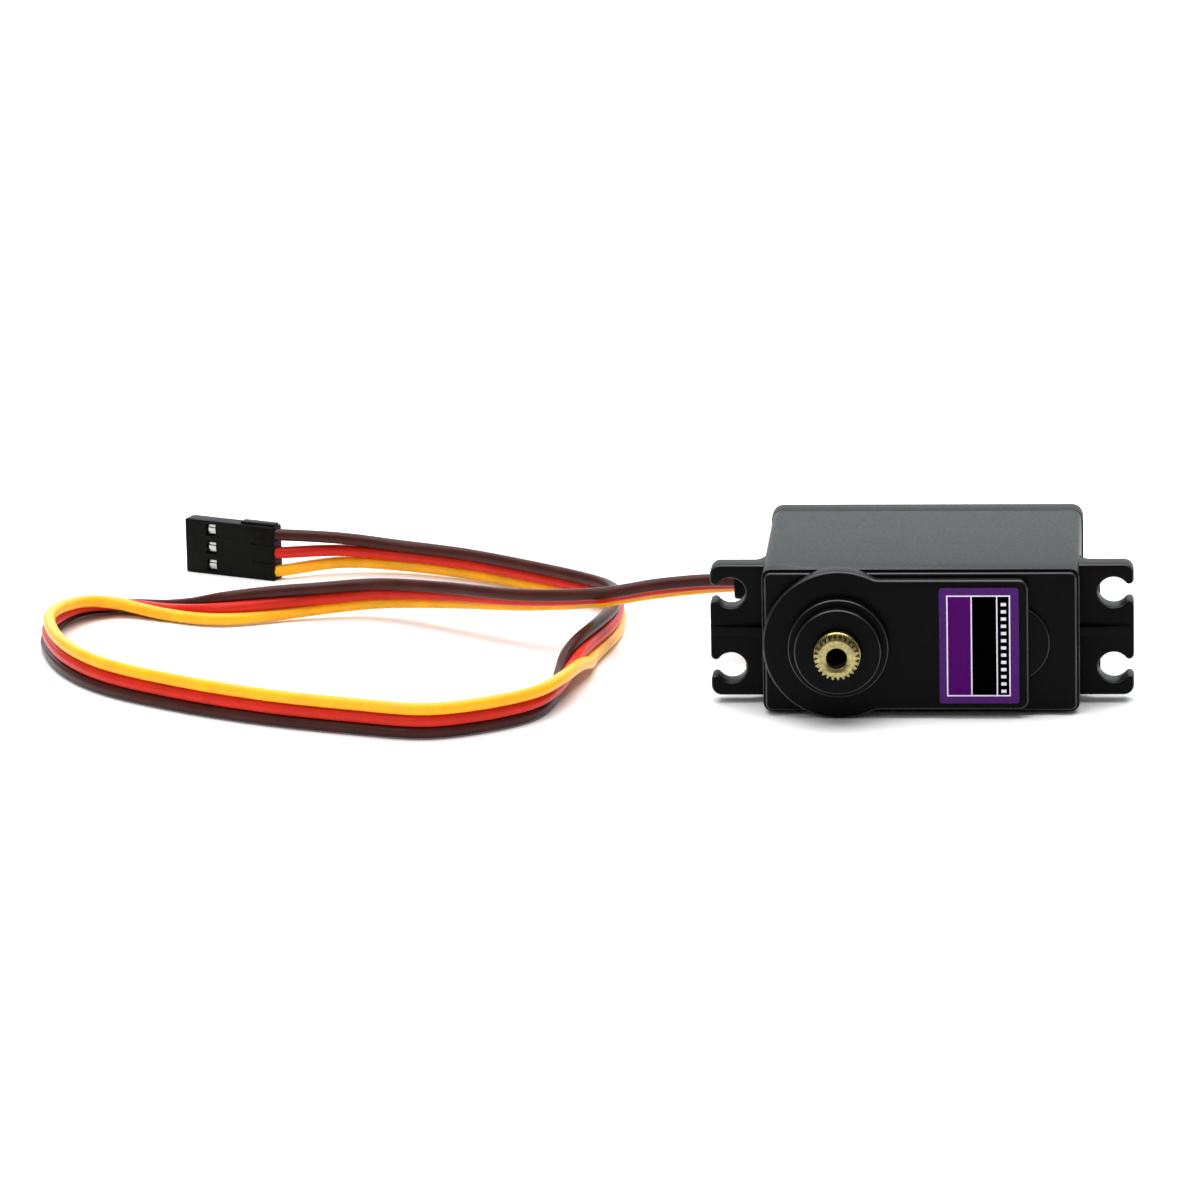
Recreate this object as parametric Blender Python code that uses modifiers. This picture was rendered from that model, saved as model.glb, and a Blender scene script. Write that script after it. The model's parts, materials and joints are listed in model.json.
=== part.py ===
"""Standard-size metal-gear hobby servo with a three-core lead, lying on its broad side.

The servo is modelled upright in its own frame (x along its length, y across its width, z up the
output shaft, origin under the middle of the case) and is laid down by the empty servo_frame, so
that in the world the output shaft points along -Y and the width runs along +Z.
"""
import math

import bmesh
import bpy
from mathutils import Matrix, Vector

MM = 0.001
GAP = 0.3 * MM                      # clearance between pieces that touch

# ---------------------------------------------------------------- driving dimensions
CASE_LENGTH = 40.7 * MM
CASE_WIDTH = 19.0 * MM
CASE_CORNER = 1.2 * MM
WALL = 1.3 * MM
COVER_CORNER = 1.5 * MM
COVER_FLARE = 0.2 * MM              # the bottom cover is this much longer at each end
COVER_SEAM = 3.9 * MM               # bottom cover to middle case
COVER_FLOOR = 1.4 * MM
TOP_SEAM = 30.4 * MM                # middle case to top case
RIM_STEP, RIM_INSET = 33.9 * MM, 0.35 * MM   # small step round the top of the case
SHOULDER = 34.7 * MM                # flat top of the case beside the plateau
PLATEAU = 36.3 * MM
STEP_1, STEP_1_RADIUS = 38.0 * MM, 6.5 * MM
STEP_2, STEP_2_RADIUS = 39.7 * MM, 5.6 * MM
SHAFT_TOP = 42.7 * MM
BOSS_RADIUS = 9.8 * MM
LOBE_X, LOBE_RADIUS, LOBE_TOP = 11.5 * MM, 5.1 * MM, 35.5 * MM
PLATEAU_END, PLATEAU_CORNER = 13.9 * MM, 1.3 * MM
PLATEAU_HALF_WIDTH = 8.6 * MM
PLATEAU_BLEND = 2.6 * MM            # concave curve between the round boss and the plateau
LABEL_TOP, LABEL_THICKNESS = PLATEAU + 0.32 * MM, 0.2 * MM

EAR_SPAN = 54.6 * MM
EAR_WIDTH = 17.4 * MM
EAR_LOW, EAR_HIGH = 25.7 * MM, 29.0 * MM
EAR_CORNER, EAR_LIP = 1.3 * MM, 0.6 * MM
EAR_FILLET = 2.6 * MM               # between the case wall and the side of the ears facing the cover
HOLE_X, HOLE_Y, HOLE_RADIUS = 24.7 * MM, 5.0 * MM, 2.0 * MM
RIB_WIDTH, RIB_TIP = 1.2 * MM, 0.3 * MM

SCREW_X, SCREW_Y = 17.85 * MM, 7.0 * MM
POST_RADIUS = 1.85 * MM
SCREW_HOLE, HEAD_HOLE = 1.2 * MM, 1.95 * MM

OUTPUT_X = -10.45 * MM              # output shaft and potentiometer
CENTER_X = OUTPUT_X + 10.5 * MM     # centre gear pin
MOTOR_X = CENTER_X + 9.0 * MM       # motor shaft and motor-side gear pin
GEAR_PLATE = (27.0 * MM, 28.8 * MM)
GEAR_CEILING = 35.0 * MM
SIDE_CEILING = 33.5 * MM
PIN_RADIUS = 0.6 * MM
PIN_BORE = PIN_RADIUS + GAP
SHAFT_RADIUS = 1.9 * MM
COLLAR_RADIUS = 3.0 * MM
SPLINE_LOW = 40.7 * MM
HORN_SCREW_BORE = 1.35 * MM

MOTOR_RADIUS, MOTOR_FLAT = 8.8 * MM, 7.3 * MM
MOTOR_LOW, MOTOR_HIGH = 8.6 * MM, 26.6 * MM
MOTOR_SCREW_X = 5.0 * MM            # each side of the motor shaft

AXIS_HEIGHT = BOSS_RADIUS           # the boss is the widest part, so the servo rests on it
BACK_Y = SHAFT_TOP / 2              # the bottom cover's world Y

WIRE_DIAMETER = 1.3 * MM
CONNECTOR_SIZE = (14.0 * MM, 2.54 * MM, 7.62 * MM)
CONNECTOR_PITCH = 2.54 * MM
CONNECTOR_END = Vector((-90.9, 54.55, 3.81)) * MM   # middle of the end where the wires go in
CONNECTOR_YAW = math.radians(-23.0)
GROMMET_FACE_X = -25.4 * MM
LEAD_Y = 15.9 * MM                  # the lead's world Y where it leaves the case

# Ribbon lead, from the grommet to the connector: x, y, z in mm in the world, roll in degrees and
# distance between wires in mm. At roll 0 the orange wire is to the right of the direction of
# travel, and at roll 90 it is on top.
LEAD_ROUTE = [
    (-25.7, 15.9, 9.80, 332, 1.6), (-30.0, 16.0, 9.60, 327, 1.6), (-36.0, 15.9, 9.0, 326, 1.6),
    (-44.0, 16.3, 7.7, 328, 1.6), (-54.0, 21.2, 6.1, 322, 1.6), (-65.0, 28.8, 4.7, 307, 1.6),
    (-75.0, 34.1, 3.5, 293, 1.6), (-85.0, 33.3, 2.8, 278, 1.6), (-95.5, 31.2, 2.25, 232, 1.6),
    (-103.0, 34.2, 1.25, 190, 1.6), (-110.0, 36.4, 1.35, 163, 1.6), (-115.5, 33.0, 1.95, 140, 1.6),
    (-118.0, 23.4, 2.5, 104, 1.6), (-117.0, 15.1, 2.5, 97, 1.6), (-113.1, 5.1, 2.5, 96, 1.6),
    (-106.6, -3.5, 2.5, 94, 1.6), (-96.0, -11.3, 2.5, 92, 1.6), (-84.1, -17.6, 2.5, 88, 1.6),
    (-72.5, -21.8, 2.5, 86, 1.6), (-63.4, -24.1, 2.5, 83, 1.6), (-56.0, -21.4, 2.5, 80, 1.6),
    (-49.9, -16.0, 2.5, 75, 1.6), (-47.2, -8.7, 2.5, 62, 1.6), (-46.2, 1.2, 2.3, 22, 1.6),
    (-45.0, 9.8, 2.45, -55, 1.6), (-42.4, 21.5, 2.55, -78, 1.6), (-42.0, 29.0, 2.55, -82, 1.6),
    (-42.8, 34.6, 2.5, -78, 1.6), (-46.2, 39.8, 2.5, -68, 1.6), (-54.5, 46.4, 2.5, -70, 1.6),
    (-64.5, 53.3, 2.5, -70, 1.6), (-74.5, 56.9, 2.8, -70, 1.65), (-82.5, 56.9, 3.5, -74, 1.95),
    (-90.5, 54.6, 3.81, -90, 2.54),
]


# ---------------------------------------------------------------- collections, frame, materials
for old in list(bpy.data.objects):
    bpy.data.objects.remove(old, do_unlink=True)
PARTS = bpy.data.collections.new("servo_motor")
CUTTERS = bpy.data.collections.new("cutters")
for group in (PARTS, CUTTERS):
    bpy.context.scene.collection.children.link(group)

LAY_DOWN = Matrix.Translation((0, BACK_Y, AXIS_HEIGHT)) @ Matrix.Rotation(math.pi / 2, 4, "X")
servo_frame = bpy.data.objects.new("servo_frame", None)
servo_frame.matrix_world = LAY_DOWN
PARTS.objects.link(servo_frame)


def material(name, color, roughness, metallic=0.0):
    """A Principled BSDF material in one colour."""
    mat = bpy.data.materials.new(name)
    mat.use_nodes = True
    shader = mat.node_tree.nodes["Principled BSDF"]
    shader.inputs["Base Color"].default_value = (*color, 1.0)
    shader.inputs["Roughness"].default_value = roughness
    shader.inputs["Metallic"].default_value = metallic
    mat.diffuse_color = (*color, 1.0)
    return mat


BLACK_PLASTIC = material("black_plastic", (0.012, 0.012, 0.013), 0.45)
BLACK_RUBBER = material("black_rubber", (0.010, 0.010, 0.010), 0.7)
LABEL_PURPLE = material("label_purple", (0.10, 0.01, 0.19), 0.35)
BRASS = material("brass", (0.72, 0.53, 0.22), 0.3, 1.0)
STEEL = material("steel", (0.55, 0.55, 0.56), 0.3, 1.0)
BEARING_STEEL = material("bearing_steel", (0.62, 0.62, 0.64), 0.2, 1.0)
MOTOR_STEEL = material("motor_steel", (0.50, 0.50, 0.50), 0.35, 1.0)
MAGNET = material("magnet", (0.05, 0.05, 0.055), 0.6)
COPPER = material("copper", (0.60, 0.25, 0.12), 0.35, 1.0)
WHITE_PLASTIC = material("white_plastic", (0.75, 0.75, 0.72), 0.5)
BOARD_GREEN = material("board_green", (0.02, 0.16, 0.07), 0.4)
CHIP_BLACK = material("chip_black", (0.02, 0.02, 0.02), 0.4)
CAPACITOR = material("capacitor", (0.45, 0.33, 0.12), 0.4)
TERMINAL_TIN = material("terminal_tin", (0.70, 0.70, 0.70), 0.25, 1.0)
WIRE_COLORS = {
    "wire_brown": material("wire_brown", (0.10, 0.025, 0.018), 0.4),
    "wire_red": material("wire_red", (0.65, 0.03, 0.02), 0.4),
    "wire_orange": material("wire_orange", (0.90, 0.40, 0.02), 0.4),
}


# ---------------------------------------------------------------- shape helpers
def add_object(name, data, mat, location=(0, 0, 0), rotation=(0, 0, 0), parent=servo_frame):
    """Put mesh or curve data in the scene, in the upright servo frame unless told otherwise."""
    obj = bpy.data.objects.new(name, data)
    obj.location, obj.rotation_euler = location, rotation
    obj.parent = parent
    data.materials.clear()
    data.materials.append(mat)
    PARTS.objects.link(obj)
    return obj


def arc(center, radius, start, stop, steps):
    """Points on an arc, angles in degrees, both ends included."""
    angles = [math.radians(start + (stop - start) * k / steps) for k in range(steps + 1)]
    return [(center[0] + radius * math.cos(a), center[1] + radius * math.sin(a)) for a in angles]


def circle(center, radius, steps=24):
    return arc(center, radius, 0, 360, steps)[:-1]


def rounded_box(x_low, x_high, y_low, y_high, radius, steps=4):
    """A rectangle with round corners."""
    corners = [(x_high, y_high, 0), (x_low, y_high, 90), (x_low, y_low, 180), (x_high, y_low, 270)]
    points = []
    for x, y, start in corners:
        middle = (x - math.copysign(radius, x - (x_low + x_high) / 2),
                  y - math.copysign(radius, y - (y_low + y_high) / 2))
        points += arc(middle, radius, start, start + 90, steps)
    return points


def prism_mesh(name, outlines, low, high):
    """Closed outlines, the first one outside and the rest holes, filled from height low to high."""
    curve = bpy.data.curves.new(name, "CURVE")
    curve.dimensions, curve.fill_mode = "2D", "BOTH"
    curve.extrude = (high - low) / 2
    for outline in outlines:
        spline = curve.splines.new("POLY")
        spline.points.add(len(outline) - 1)
        for point, (x, y) in zip(spline.points, outline):
            point.co = (x, y, 0, 1)
        spline.use_cyclic_u = True
    holder = bpy.data.objects.new(name, curve)
    bpy.context.scene.collection.objects.link(holder)
    graph = bpy.context.evaluated_depsgraph_get()
    mesh = bpy.data.meshes.new_from_object(holder.evaluated_get(graph))
    bpy.data.objects.remove(holder)
    mesh.transform(Matrix.Translation((0, 0, (low + high) / 2)))
    clean(mesh)
    return mesh


def clean(mesh):
    """Weld a curve's loose caps and turn every face outwards."""
    shape = bmesh.new()
    shape.from_mesh(mesh)
    bmesh.ops.remove_doubles(shape, verts=shape.verts, dist=1e-7)
    bmesh.ops.recalc_face_normals(shape, faces=shape.faces)
    shape.to_mesh(mesh)
    shape.free()


def prism(name, outlines, low, high, mat, location=(0, 0, 0), parent=servo_frame):
    return add_object(name, prism_mesh(name, outlines, low, high), mat, location, parent=parent)


def turned(name, profile, mat, location=(0, 0, 0), steps=24):
    """A profile of (radius, height) pairs, run down its outer side first, turned about local Z."""
    mesh = bpy.data.meshes.new(name)
    shape = bmesh.new()
    verts = [shape.verts.new((radius, 0, height)) for radius, height in profile]
    for first, second in zip(verts, verts[1:] + verts[:1]):
        if first.co.x > 0 or second.co.x > 0:
            shape.edges.new((first, second))
    shape.to_mesh(mesh)
    shape.free()
    obj = add_object(name, mesh, mat, location)
    screw = obj.modifiers.new("turn", "SCREW")
    screw.axis, screw.angle = "Z", math.tau
    screw.steps = screw.render_steps = steps
    screw.use_merge_vertices, screw.merge_threshold = True, 1e-6
    return obj


def ring(name, inner, outer, low, high, mat, location=(0, 0, 0), steps=24):
    profile = [(outer, high), (outer, low), (inner, low), (inner, high)]
    return turned(name, profile, mat, location, steps)


def box(name, low, high, mat, parent=servo_frame):
    """A plain box between two corners."""
    mesh = bpy.data.meshes.new(name)
    shape = bmesh.new()
    bmesh.ops.create_cube(shape, size=1.0)
    size = [b - a for a, b in zip(low, high)]
    bmesh.ops.scale(shape, vec=size, verts=shape.verts)
    middle = [(a + b) / 2 for a, b in zip(low, high)]
    bmesh.ops.translate(shape, vec=middle, verts=shape.verts)
    shape.to_mesh(mesh)
    shape.free()
    return add_object(name, mesh, mat, parent=parent)


def combine(base, other, operation="DIFFERENCE"):
    """Cut other from base, or join it to base; other becomes a hidden cutter."""
    for owner in list(other.users_collection):
        owner.objects.unlink(other)
    CUTTERS.objects.link(other)
    other.hide_render, other.display_type = True, "WIRE"
    boolean = base.modifiers.new(other.name, "BOOLEAN")
    boolean.operation, boolean.object, boolean.solver = operation, other, "EXACT"


def cut_prism(base, name, outline, low, high):
    combine(base, prism(name, [outline], low, high, BLACK_PLASTIC))


def join_prism(base, name, outline, low, high):
    combine(base, prism(name, [outline], low, high, BLACK_PLASTIC), "UNION")


def cavity_outline(half_length, half_width):
    """The inside of the case: a rectangle with a screw post standing in each corner."""
    at_end = math.degrees(math.acos((half_length - SCREW_X) / POST_RADIUS))
    at_side = math.degrees(math.asin((half_width - SCREW_Y) / POST_RADIUS))
    corner = arc((SCREW_X, SCREW_Y), POST_RADIUS, -at_end, -180 - at_side, 6)
    return (corner + [(-x, y) for x, y in reversed(corner)]
            + [(-x, -y) for x, y in corner] + [(x, -y) for x, y in reversed(corner)])


# ---------------------------------------------------------------- case
def case_outline(inset=0.0, flare=0.0, corner=CASE_CORNER):
    half_length, half_width = CASE_LENGTH / 2 - inset + flare, CASE_WIDTH / 2 - inset
    return rounded_box(-half_length, half_length, -half_width, half_width, corner)


def lead_notch():
    """The slot in the end wall that the grommet sits in."""
    return rounded_box(-CASE_LENGTH, -CASE_LENGTH / 2 + 3 * MM, -1.9 * MM, 1.9 * MM, 0.3 * MM, 1)


def screw_holes(radius):
    return [circle((sx * SCREW_X, sy * SCREW_Y), radius, 12) for sx in (-1, 1) for sy in (-1, 1)]


def soften_end(obj, height, width):
    """Bevel the outer rim of a case part at one height."""
    mesh = obj.data
    shape = bmesh.new()
    shape.from_mesh(mesh)
    rim = [edge for edge in shape.edges
           if all(abs(v.co.z - height) < 1e-6 for v in edge.verts)
           and len(edge.link_faces) == 2
           and any(abs(f.normal.z) < 0.5 for f in edge.link_faces)]
    bmesh.ops.bevel(shape, geom=rim, offset=width, segments=2, profile=0.5, affect="EDGES")
    shape.to_mesh(mesh)
    shape.free()


def make_case_bottom():
    inner = cavity_outline(CASE_LENGTH / 2 - WALL, CASE_WIDTH / 2 - WALL)
    outline = case_outline(flare=COVER_FLARE, corner=COVER_CORNER)
    cover = prism("case_bottom", [outline], 0, COVER_SEAM, BLACK_PLASTIC)
    soften_end(cover, 0, 0.9 * MM)
    cut_prism(cover, "cover_hollow", inner, COVER_FLOOR, COVER_SEAM + MM)
    for k, hole in enumerate(screw_holes(SCREW_HOLE)):
        cut_prism(cover, f"cover_screw_hole_{k}", hole, -MM, COVER_SEAM + MM)
    for k, hole in enumerate(screw_holes(HEAD_HOLE)):
        cut_prism(cover, f"cover_counterbore_{k}", hole, -MM, 1.6 * MM)
    cut_prism(cover, "cover_lead_notch", lead_notch(), 2.2 * MM, COVER_SEAM + MM)


def ear_outline(side):
    """One pair of ears with two slots open to the end, each with round lips; side is -1 or 1."""
    root, end, half = CASE_LENGTH / 2 - MM, EAR_SPAN / 2, EAR_WIDTH / 2
    lip_x = end - EAR_LIP
    lip_y = math.sqrt((HOLE_RADIUS + EAR_LIP) ** 2 - (lip_x - HOLE_X) ** 2)
    mouth = math.degrees(math.atan2(lip_y, lip_x - HOLE_X))
    points = [(root, -half)]
    points += arc((end - EAR_CORNER, -half + EAR_CORNER), EAR_CORNER, -90, 0, 4)
    for y in (-HOLE_Y, HOLE_Y):
        points += arc((lip_x, y - lip_y), EAR_LIP, 0, 180 - mouth, 3)
        points += arc((HOLE_X, y), HOLE_RADIUS, -mouth, mouth - 360, 20)[1:-1]
        points += arc((lip_x, y + lip_y), EAR_LIP, mouth - 180, 0, 3)
    points += arc((end - EAR_CORNER, half - EAR_CORNER), EAR_CORNER, 0, 90, 4)
    points += [(root, half)]
    return [(side * x, y) for x, y in points[::side]]


def fillet_outline(side):
    """Concave curve between the case wall and the ears, on the side facing the cover."""
    wall, buried = CASE_LENGTH / 2, 0.3 * MM
    bend = arc((wall + EAR_FILLET, EAR_LOW - EAR_FILLET), EAR_FILLET, 90, 180, 3)
    points = [(wall - buried, EAR_LOW - EAR_FILLET), (wall - buried, EAR_LOW + buried),
              (wall + EAR_FILLET, EAR_LOW + buried), *bend]
    return [(side * x, z) for x, z in points[::side]]


def rib_outline(side):
    """The low gusset between an ear's two holes, seen from the side."""
    root, end = CASE_LENGTH / 2 - 0.5 * MM, EAR_SPAN / 2 - 0.4 * MM
    low = EAR_HIGH - 0.5 * MM
    points = [(root, low), (end, low), (end, EAR_HIGH + RIB_TIP), (root, TOP_SEAM)]
    return [(side * x, z) for x, z in points[::side]]


def make_case_middle():
    low, high = COVER_SEAM + GAP, TOP_SEAM
    middle = prism("case_middle", [case_outline(), *screw_holes(SCREW_HOLE)], low, high,
                   BLACK_PLASTIC)
    for side in (-1, 1):
        join_prism(middle, f"ears_{side}", ear_outline(side), EAR_LOW, EAR_HIGH)
        half = EAR_WIDTH / 2 - 0.2 * MM
        rib = prism(f"ear_rib_{side}", [rib_outline(side)], -RIB_WIDTH / 2, RIB_WIDTH / 2,
                    BLACK_PLASTIC)
        fillet = prism(f"ear_fillet_{side}", [fillet_outline(side)], -half, half, BLACK_PLASTIC)
        for extra in (rib, fillet):
            extra.data.transform(Matrix.Rotation(math.pi / 2, 4, "X"))
            combine(middle, extra, "UNION")
    inner = cavity_outline(CASE_LENGTH / 2 - WALL, CASE_WIDTH / 2 - WALL)
    cut_prism(middle, "board_and_motor_space", inner, low - MM, GEAR_PLATE[0])
    cut_prism(middle, "gear_space", inner, GEAR_PLATE[1], high + MM)
    holes = {
        "plate_bearing_pocket": ((OUTPUT_X, 0), 4.6 * MM),
        "plate_pin_hole": ((CENTER_X, 0), PIN_BORE),
        "plate_motor_hole": ((MOTOR_X, 0), 2.75 * MM),
        "plate_screw_hole_1": ((MOTOR_X - MOTOR_SCREW_X, 0), 0.9 * MM),
        "plate_screw_hole_2": ((MOTOR_X + MOTOR_SCREW_X, 0), 0.9 * MM),
    }
    for name, (center, radius) in holes.items():
        cut_prism(middle, name, circle(center, radius, 24), GEAR_PLATE[0] - MM, GEAR_PLATE[1] + MM)
    for side in (-1, 1):
        recess = circle((MOTOR_X + side * MOTOR_SCREW_X, 0), 1.4 * MM, 12)
        cut_prism(middle, f"plate_head_recess_{side}", recess, 27.7 * MM, GEAR_PLATE[1] + MM)
    cut_prism(middle, "middle_lead_notch", lead_notch(), low - MM, 8.4 * MM)


def plateau_outline():
    """Boss circle blended into the long plateau by a small concave curve on each side."""
    blend, half = PLATEAU_BLEND, PLATEAU_HALF_WIDTH
    across = math.acos((half + blend) / (BOSS_RADIUS + blend))
    blend_x = OUTPUT_X + (BOSS_RADIUS + blend) * math.sin(across)
    angle = 90 - math.degrees(across)
    end, corner = PLATEAU_END, PLATEAU_CORNER
    points = arc((OUTPUT_X, 0), BOSS_RADIUS, angle, 360 - angle, 36)
    points += arc((blend_x, -half - blend), blend, 180 - angle, 90, 3)
    points += arc((end - corner, -half + corner), corner, -90, 0, 3)
    points += arc((end - corner, half - corner), corner, 0, 90, 3)
    points += arc((blend_x, half + blend), blend, -90, angle - 180, 3)
    return points


def make_case_top():
    low = TOP_SEAM + GAP
    top = prism("case_top", [case_outline()], low, RIM_STEP, BLACK_PLASTIC)
    rim = prism("top_rim", [case_outline(RIM_INSET)], RIM_STEP - MM, SHOULDER, BLACK_PLASTIC)
    soften_end(rim, SHOULDER, 0.25 * MM)
    combine(top, rim, "UNION")
    plateau = prism("plateau", [plateau_outline()], RIM_STEP - 0.2 * MM, PLATEAU, BLACK_PLASTIC)
    soften_end(plateau, PLATEAU, 0.25 * MM)
    combine(top, plateau, "UNION")
    lobe = turned("lobe", [(0, LOBE_TOP), (LOBE_RADIUS, LOBE_TOP), (LOBE_RADIUS, low + MM),
                           (0, low + MM)], BLACK_PLASTIC, (LOBE_X, 0, 0))
    combine(top, lobe, "UNION")
    steps = [(0, STEP_2), (STEP_2_RADIUS - 0.25 * MM, STEP_2), (STEP_2_RADIUS, STEP_2 - 0.25 * MM),
             (STEP_2_RADIUS, STEP_1), (STEP_1_RADIUS - 0.25 * MM, STEP_1),
             (STEP_1_RADIUS, STEP_1 - 0.25 * MM), (STEP_1_RADIUS, SHOULDER), (0, SHOULDER)]
    combine(top, turned("shaft_boss", steps, BLACK_PLASTIC, (OUTPUT_X, 0, 0)), "UNION")
    half_length, half_width = CASE_LENGTH / 2 - WALL, CASE_WIDTH / 2 - 1.2 * MM
    cut_prism(top, "gear_hollow", cavity_outline(half_length, half_width), low - MM, SIDE_CEILING)
    gear_room = circle((OUTPUT_X, 0), 8.3 * MM, 32)
    cut_prism(top, "output_gear_room", gear_room, SIDE_CEILING - 0.1 * MM, GEAR_CEILING)
    pinion_room = circle((CENTER_X, 0), 4.2 * MM, 24)
    cut_prism(top, "pinion_room", pinion_room, SIDE_CEILING - 0.1 * MM, GEAR_CEILING)
    cut_prism(top, "center_pin_pocket", circle((CENTER_X, 0), PIN_BORE, 12),
              GEAR_CEILING - MM, GEAR_CEILING + 0.7 * MM)
    cut_prism(top, "motor_pin_pocket", circle((MOTOR_X, 0), PIN_BORE, 12),
              SIDE_CEILING - MM, SIDE_CEILING + 0.8 * MM)
    bore = [(3.35 * MM, STEP_2 + MM), (3.35 * MM, 39.0 * MM), (5.0 * MM, 39.0 * MM),
            (5.0 * MM, 36.0 * MM), (4.3 * MM, 36.0 * MM), (4.3 * MM, GEAR_CEILING - MM)]
    cutter = turned("bearing_bore", [(0, bore[0][1]), *bore, (0, bore[-1][1])], BLACK_PLASTIC,
                    (OUTPUT_X, 0, 0))
    combine(top, cutter)
    for k, hole in enumerate(screw_holes(SCREW_HOLE)):
        cut_prism(top, f"top_screw_hole_{k}", hole, low - MM, 33.2 * MM)
    for side in (-1, 1):
        nub = [(OUTPUT_X + 1.6 * MM, side * 5.4 * MM), (OUTPUT_X + 3.4 * MM, side * 5.4 * MM),
               (OUTPUT_X + 3.4 * MM, side * 8.6 * MM), (OUTPUT_X + 1.6 * MM, side * 8.6 * MM)]
        join_prism(top, f"stop_nub_{side}", nub[::side], 32.2 * MM, 33.1 * MM)


def make_label():
    outline = rounded_box(2.45 * MM, 12.65 * MM, -7.65 * MM, 7.65 * MM, 0.4 * MM, 2)
    prism("label", [outline], LABEL_TOP - LABEL_THICKNESS, LABEL_TOP, LABEL_PURPLE)


def make_case_screws():
    """Four long screws, put in from the bottom cover."""
    head, shank = 1.65 * MM, 0.9 * MM
    profile = [(shank * 0.6, 32.6 * MM), (shank, 32.0 * MM), (shank, 1.3 * MM), (head, 1.3 * MM),
               (head, 0.35 * MM), (head - 0.3 * MM, 0.15 * MM), (0, 0.15 * MM), (0, 32.6 * MM)]
    spots = [(sx, sy) for sx in (-1, 1) for sy in (-1, 1)]
    for number, (sx, sy) in enumerate(spots, start=1):
        screw = turned(f"case_screw_{number}", profile, STEEL, (sx * SCREW_X, sy * SCREW_Y, 0), 12)
        for turn in (0, math.pi / 2):
            slot = box(f"screw_{number}_cross_{turn:.0f}", (-1.0 * MM, -0.2 * MM, 0),
                       (1.0 * MM, 0.2 * MM, 0.7 * MM), STEEL)
            slot.location, slot.rotation_euler.z = screw.location, turn
            combine(screw, slot)


# ---------------------------------------------------------------- gears
def gear_outline(teeth, module, tooth_at_zero, backlash, addendum=1.0, flank=3):
    """Involute spur gear outline with a 20 degree pressure angle."""
    pressure = math.radians(20)
    pitch = teeth * module / 2
    base, tip, root = pitch * math.cos(pressure), pitch + addendum * module, pitch - 1.25 * module
    start = max(base, root)
    half_angle = (math.pi * module / 2 - backlash) / 2 / pitch

    def involute(radius):
        spread = math.acos(base / radius)
        return math.tan(spread) - spread

    centre = half_angle + involute(pitch)
    radii = [start + (tip - start) * k / (flank - 1) for k in range(flank)]
    side = [(radius, centre - involute(max(radius, base))) for radius in radii]
    if root < start:
        side.insert(0, (root, side[0][1]))
    points = []
    for tooth in range(teeth):
        middle = math.tau * (tooth + (0 if tooth_at_zero else 0.5)) / teeth
        profile = [(r, middle - a) for r, a in side] + [(r, middle + a) for r, a in reversed(side)]
        points += [(r * math.cos(a), r * math.sin(a)) for r, a in profile]
    return points


def compound_gear(name, x, wheel, wheel_heights, pinion, pinion_heights):
    """A wheel with its pinion in one piece, on a pin; heights are (low, high) pairs."""
    bore = circle((0, 0), PIN_BORE, 16)
    gear = prism(name, [wheel, bore], *wheel_heights, BRASS, (x, 0, 0))
    teeth = prism(name + "_teeth", [pinion, bore], *pinion_heights, BRASS, (x, 0, 0))
    combine(gear, teeth, "UNION")
    return gear


def make_gears():
    wheel = gear_outline(50, 0.30 * MM, False, 0.05 * MM, 0.85, 2)
    pinion = gear_outline(10, 0.36 * MM, True, 0.06 * MM, 0.9)
    compound_gear("gear_1", CENTER_X, wheel, (29.4 * MM, 30.4 * MM), pinion, (30.3 * MM, 32.0 * MM))
    wheel = gear_outline(40, 0.36 * MM, False, 0.06 * MM, 0.8, 2)
    pinion = gear_outline(10, 0.40 * MM, True, 0.07 * MM, 0.9)
    compound_gear("gear_2", MOTOR_X, wheel, (31.0 * MM, 31.9 * MM), pinion, (31.8 * MM, 33.2 * MM))
    wheel = gear_outline(35, 0.40 * MM, False, 0.07 * MM, 0.8, 2)
    pinion = gear_outline(12, 0.50 * MM, True, 0.08 * MM, 0.9)
    compound_gear("gear_3", CENTER_X, wheel, (32.25 * MM, 33.15 * MM), pinion,
                  (33.05 * MM, 34.75 * MM))


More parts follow.
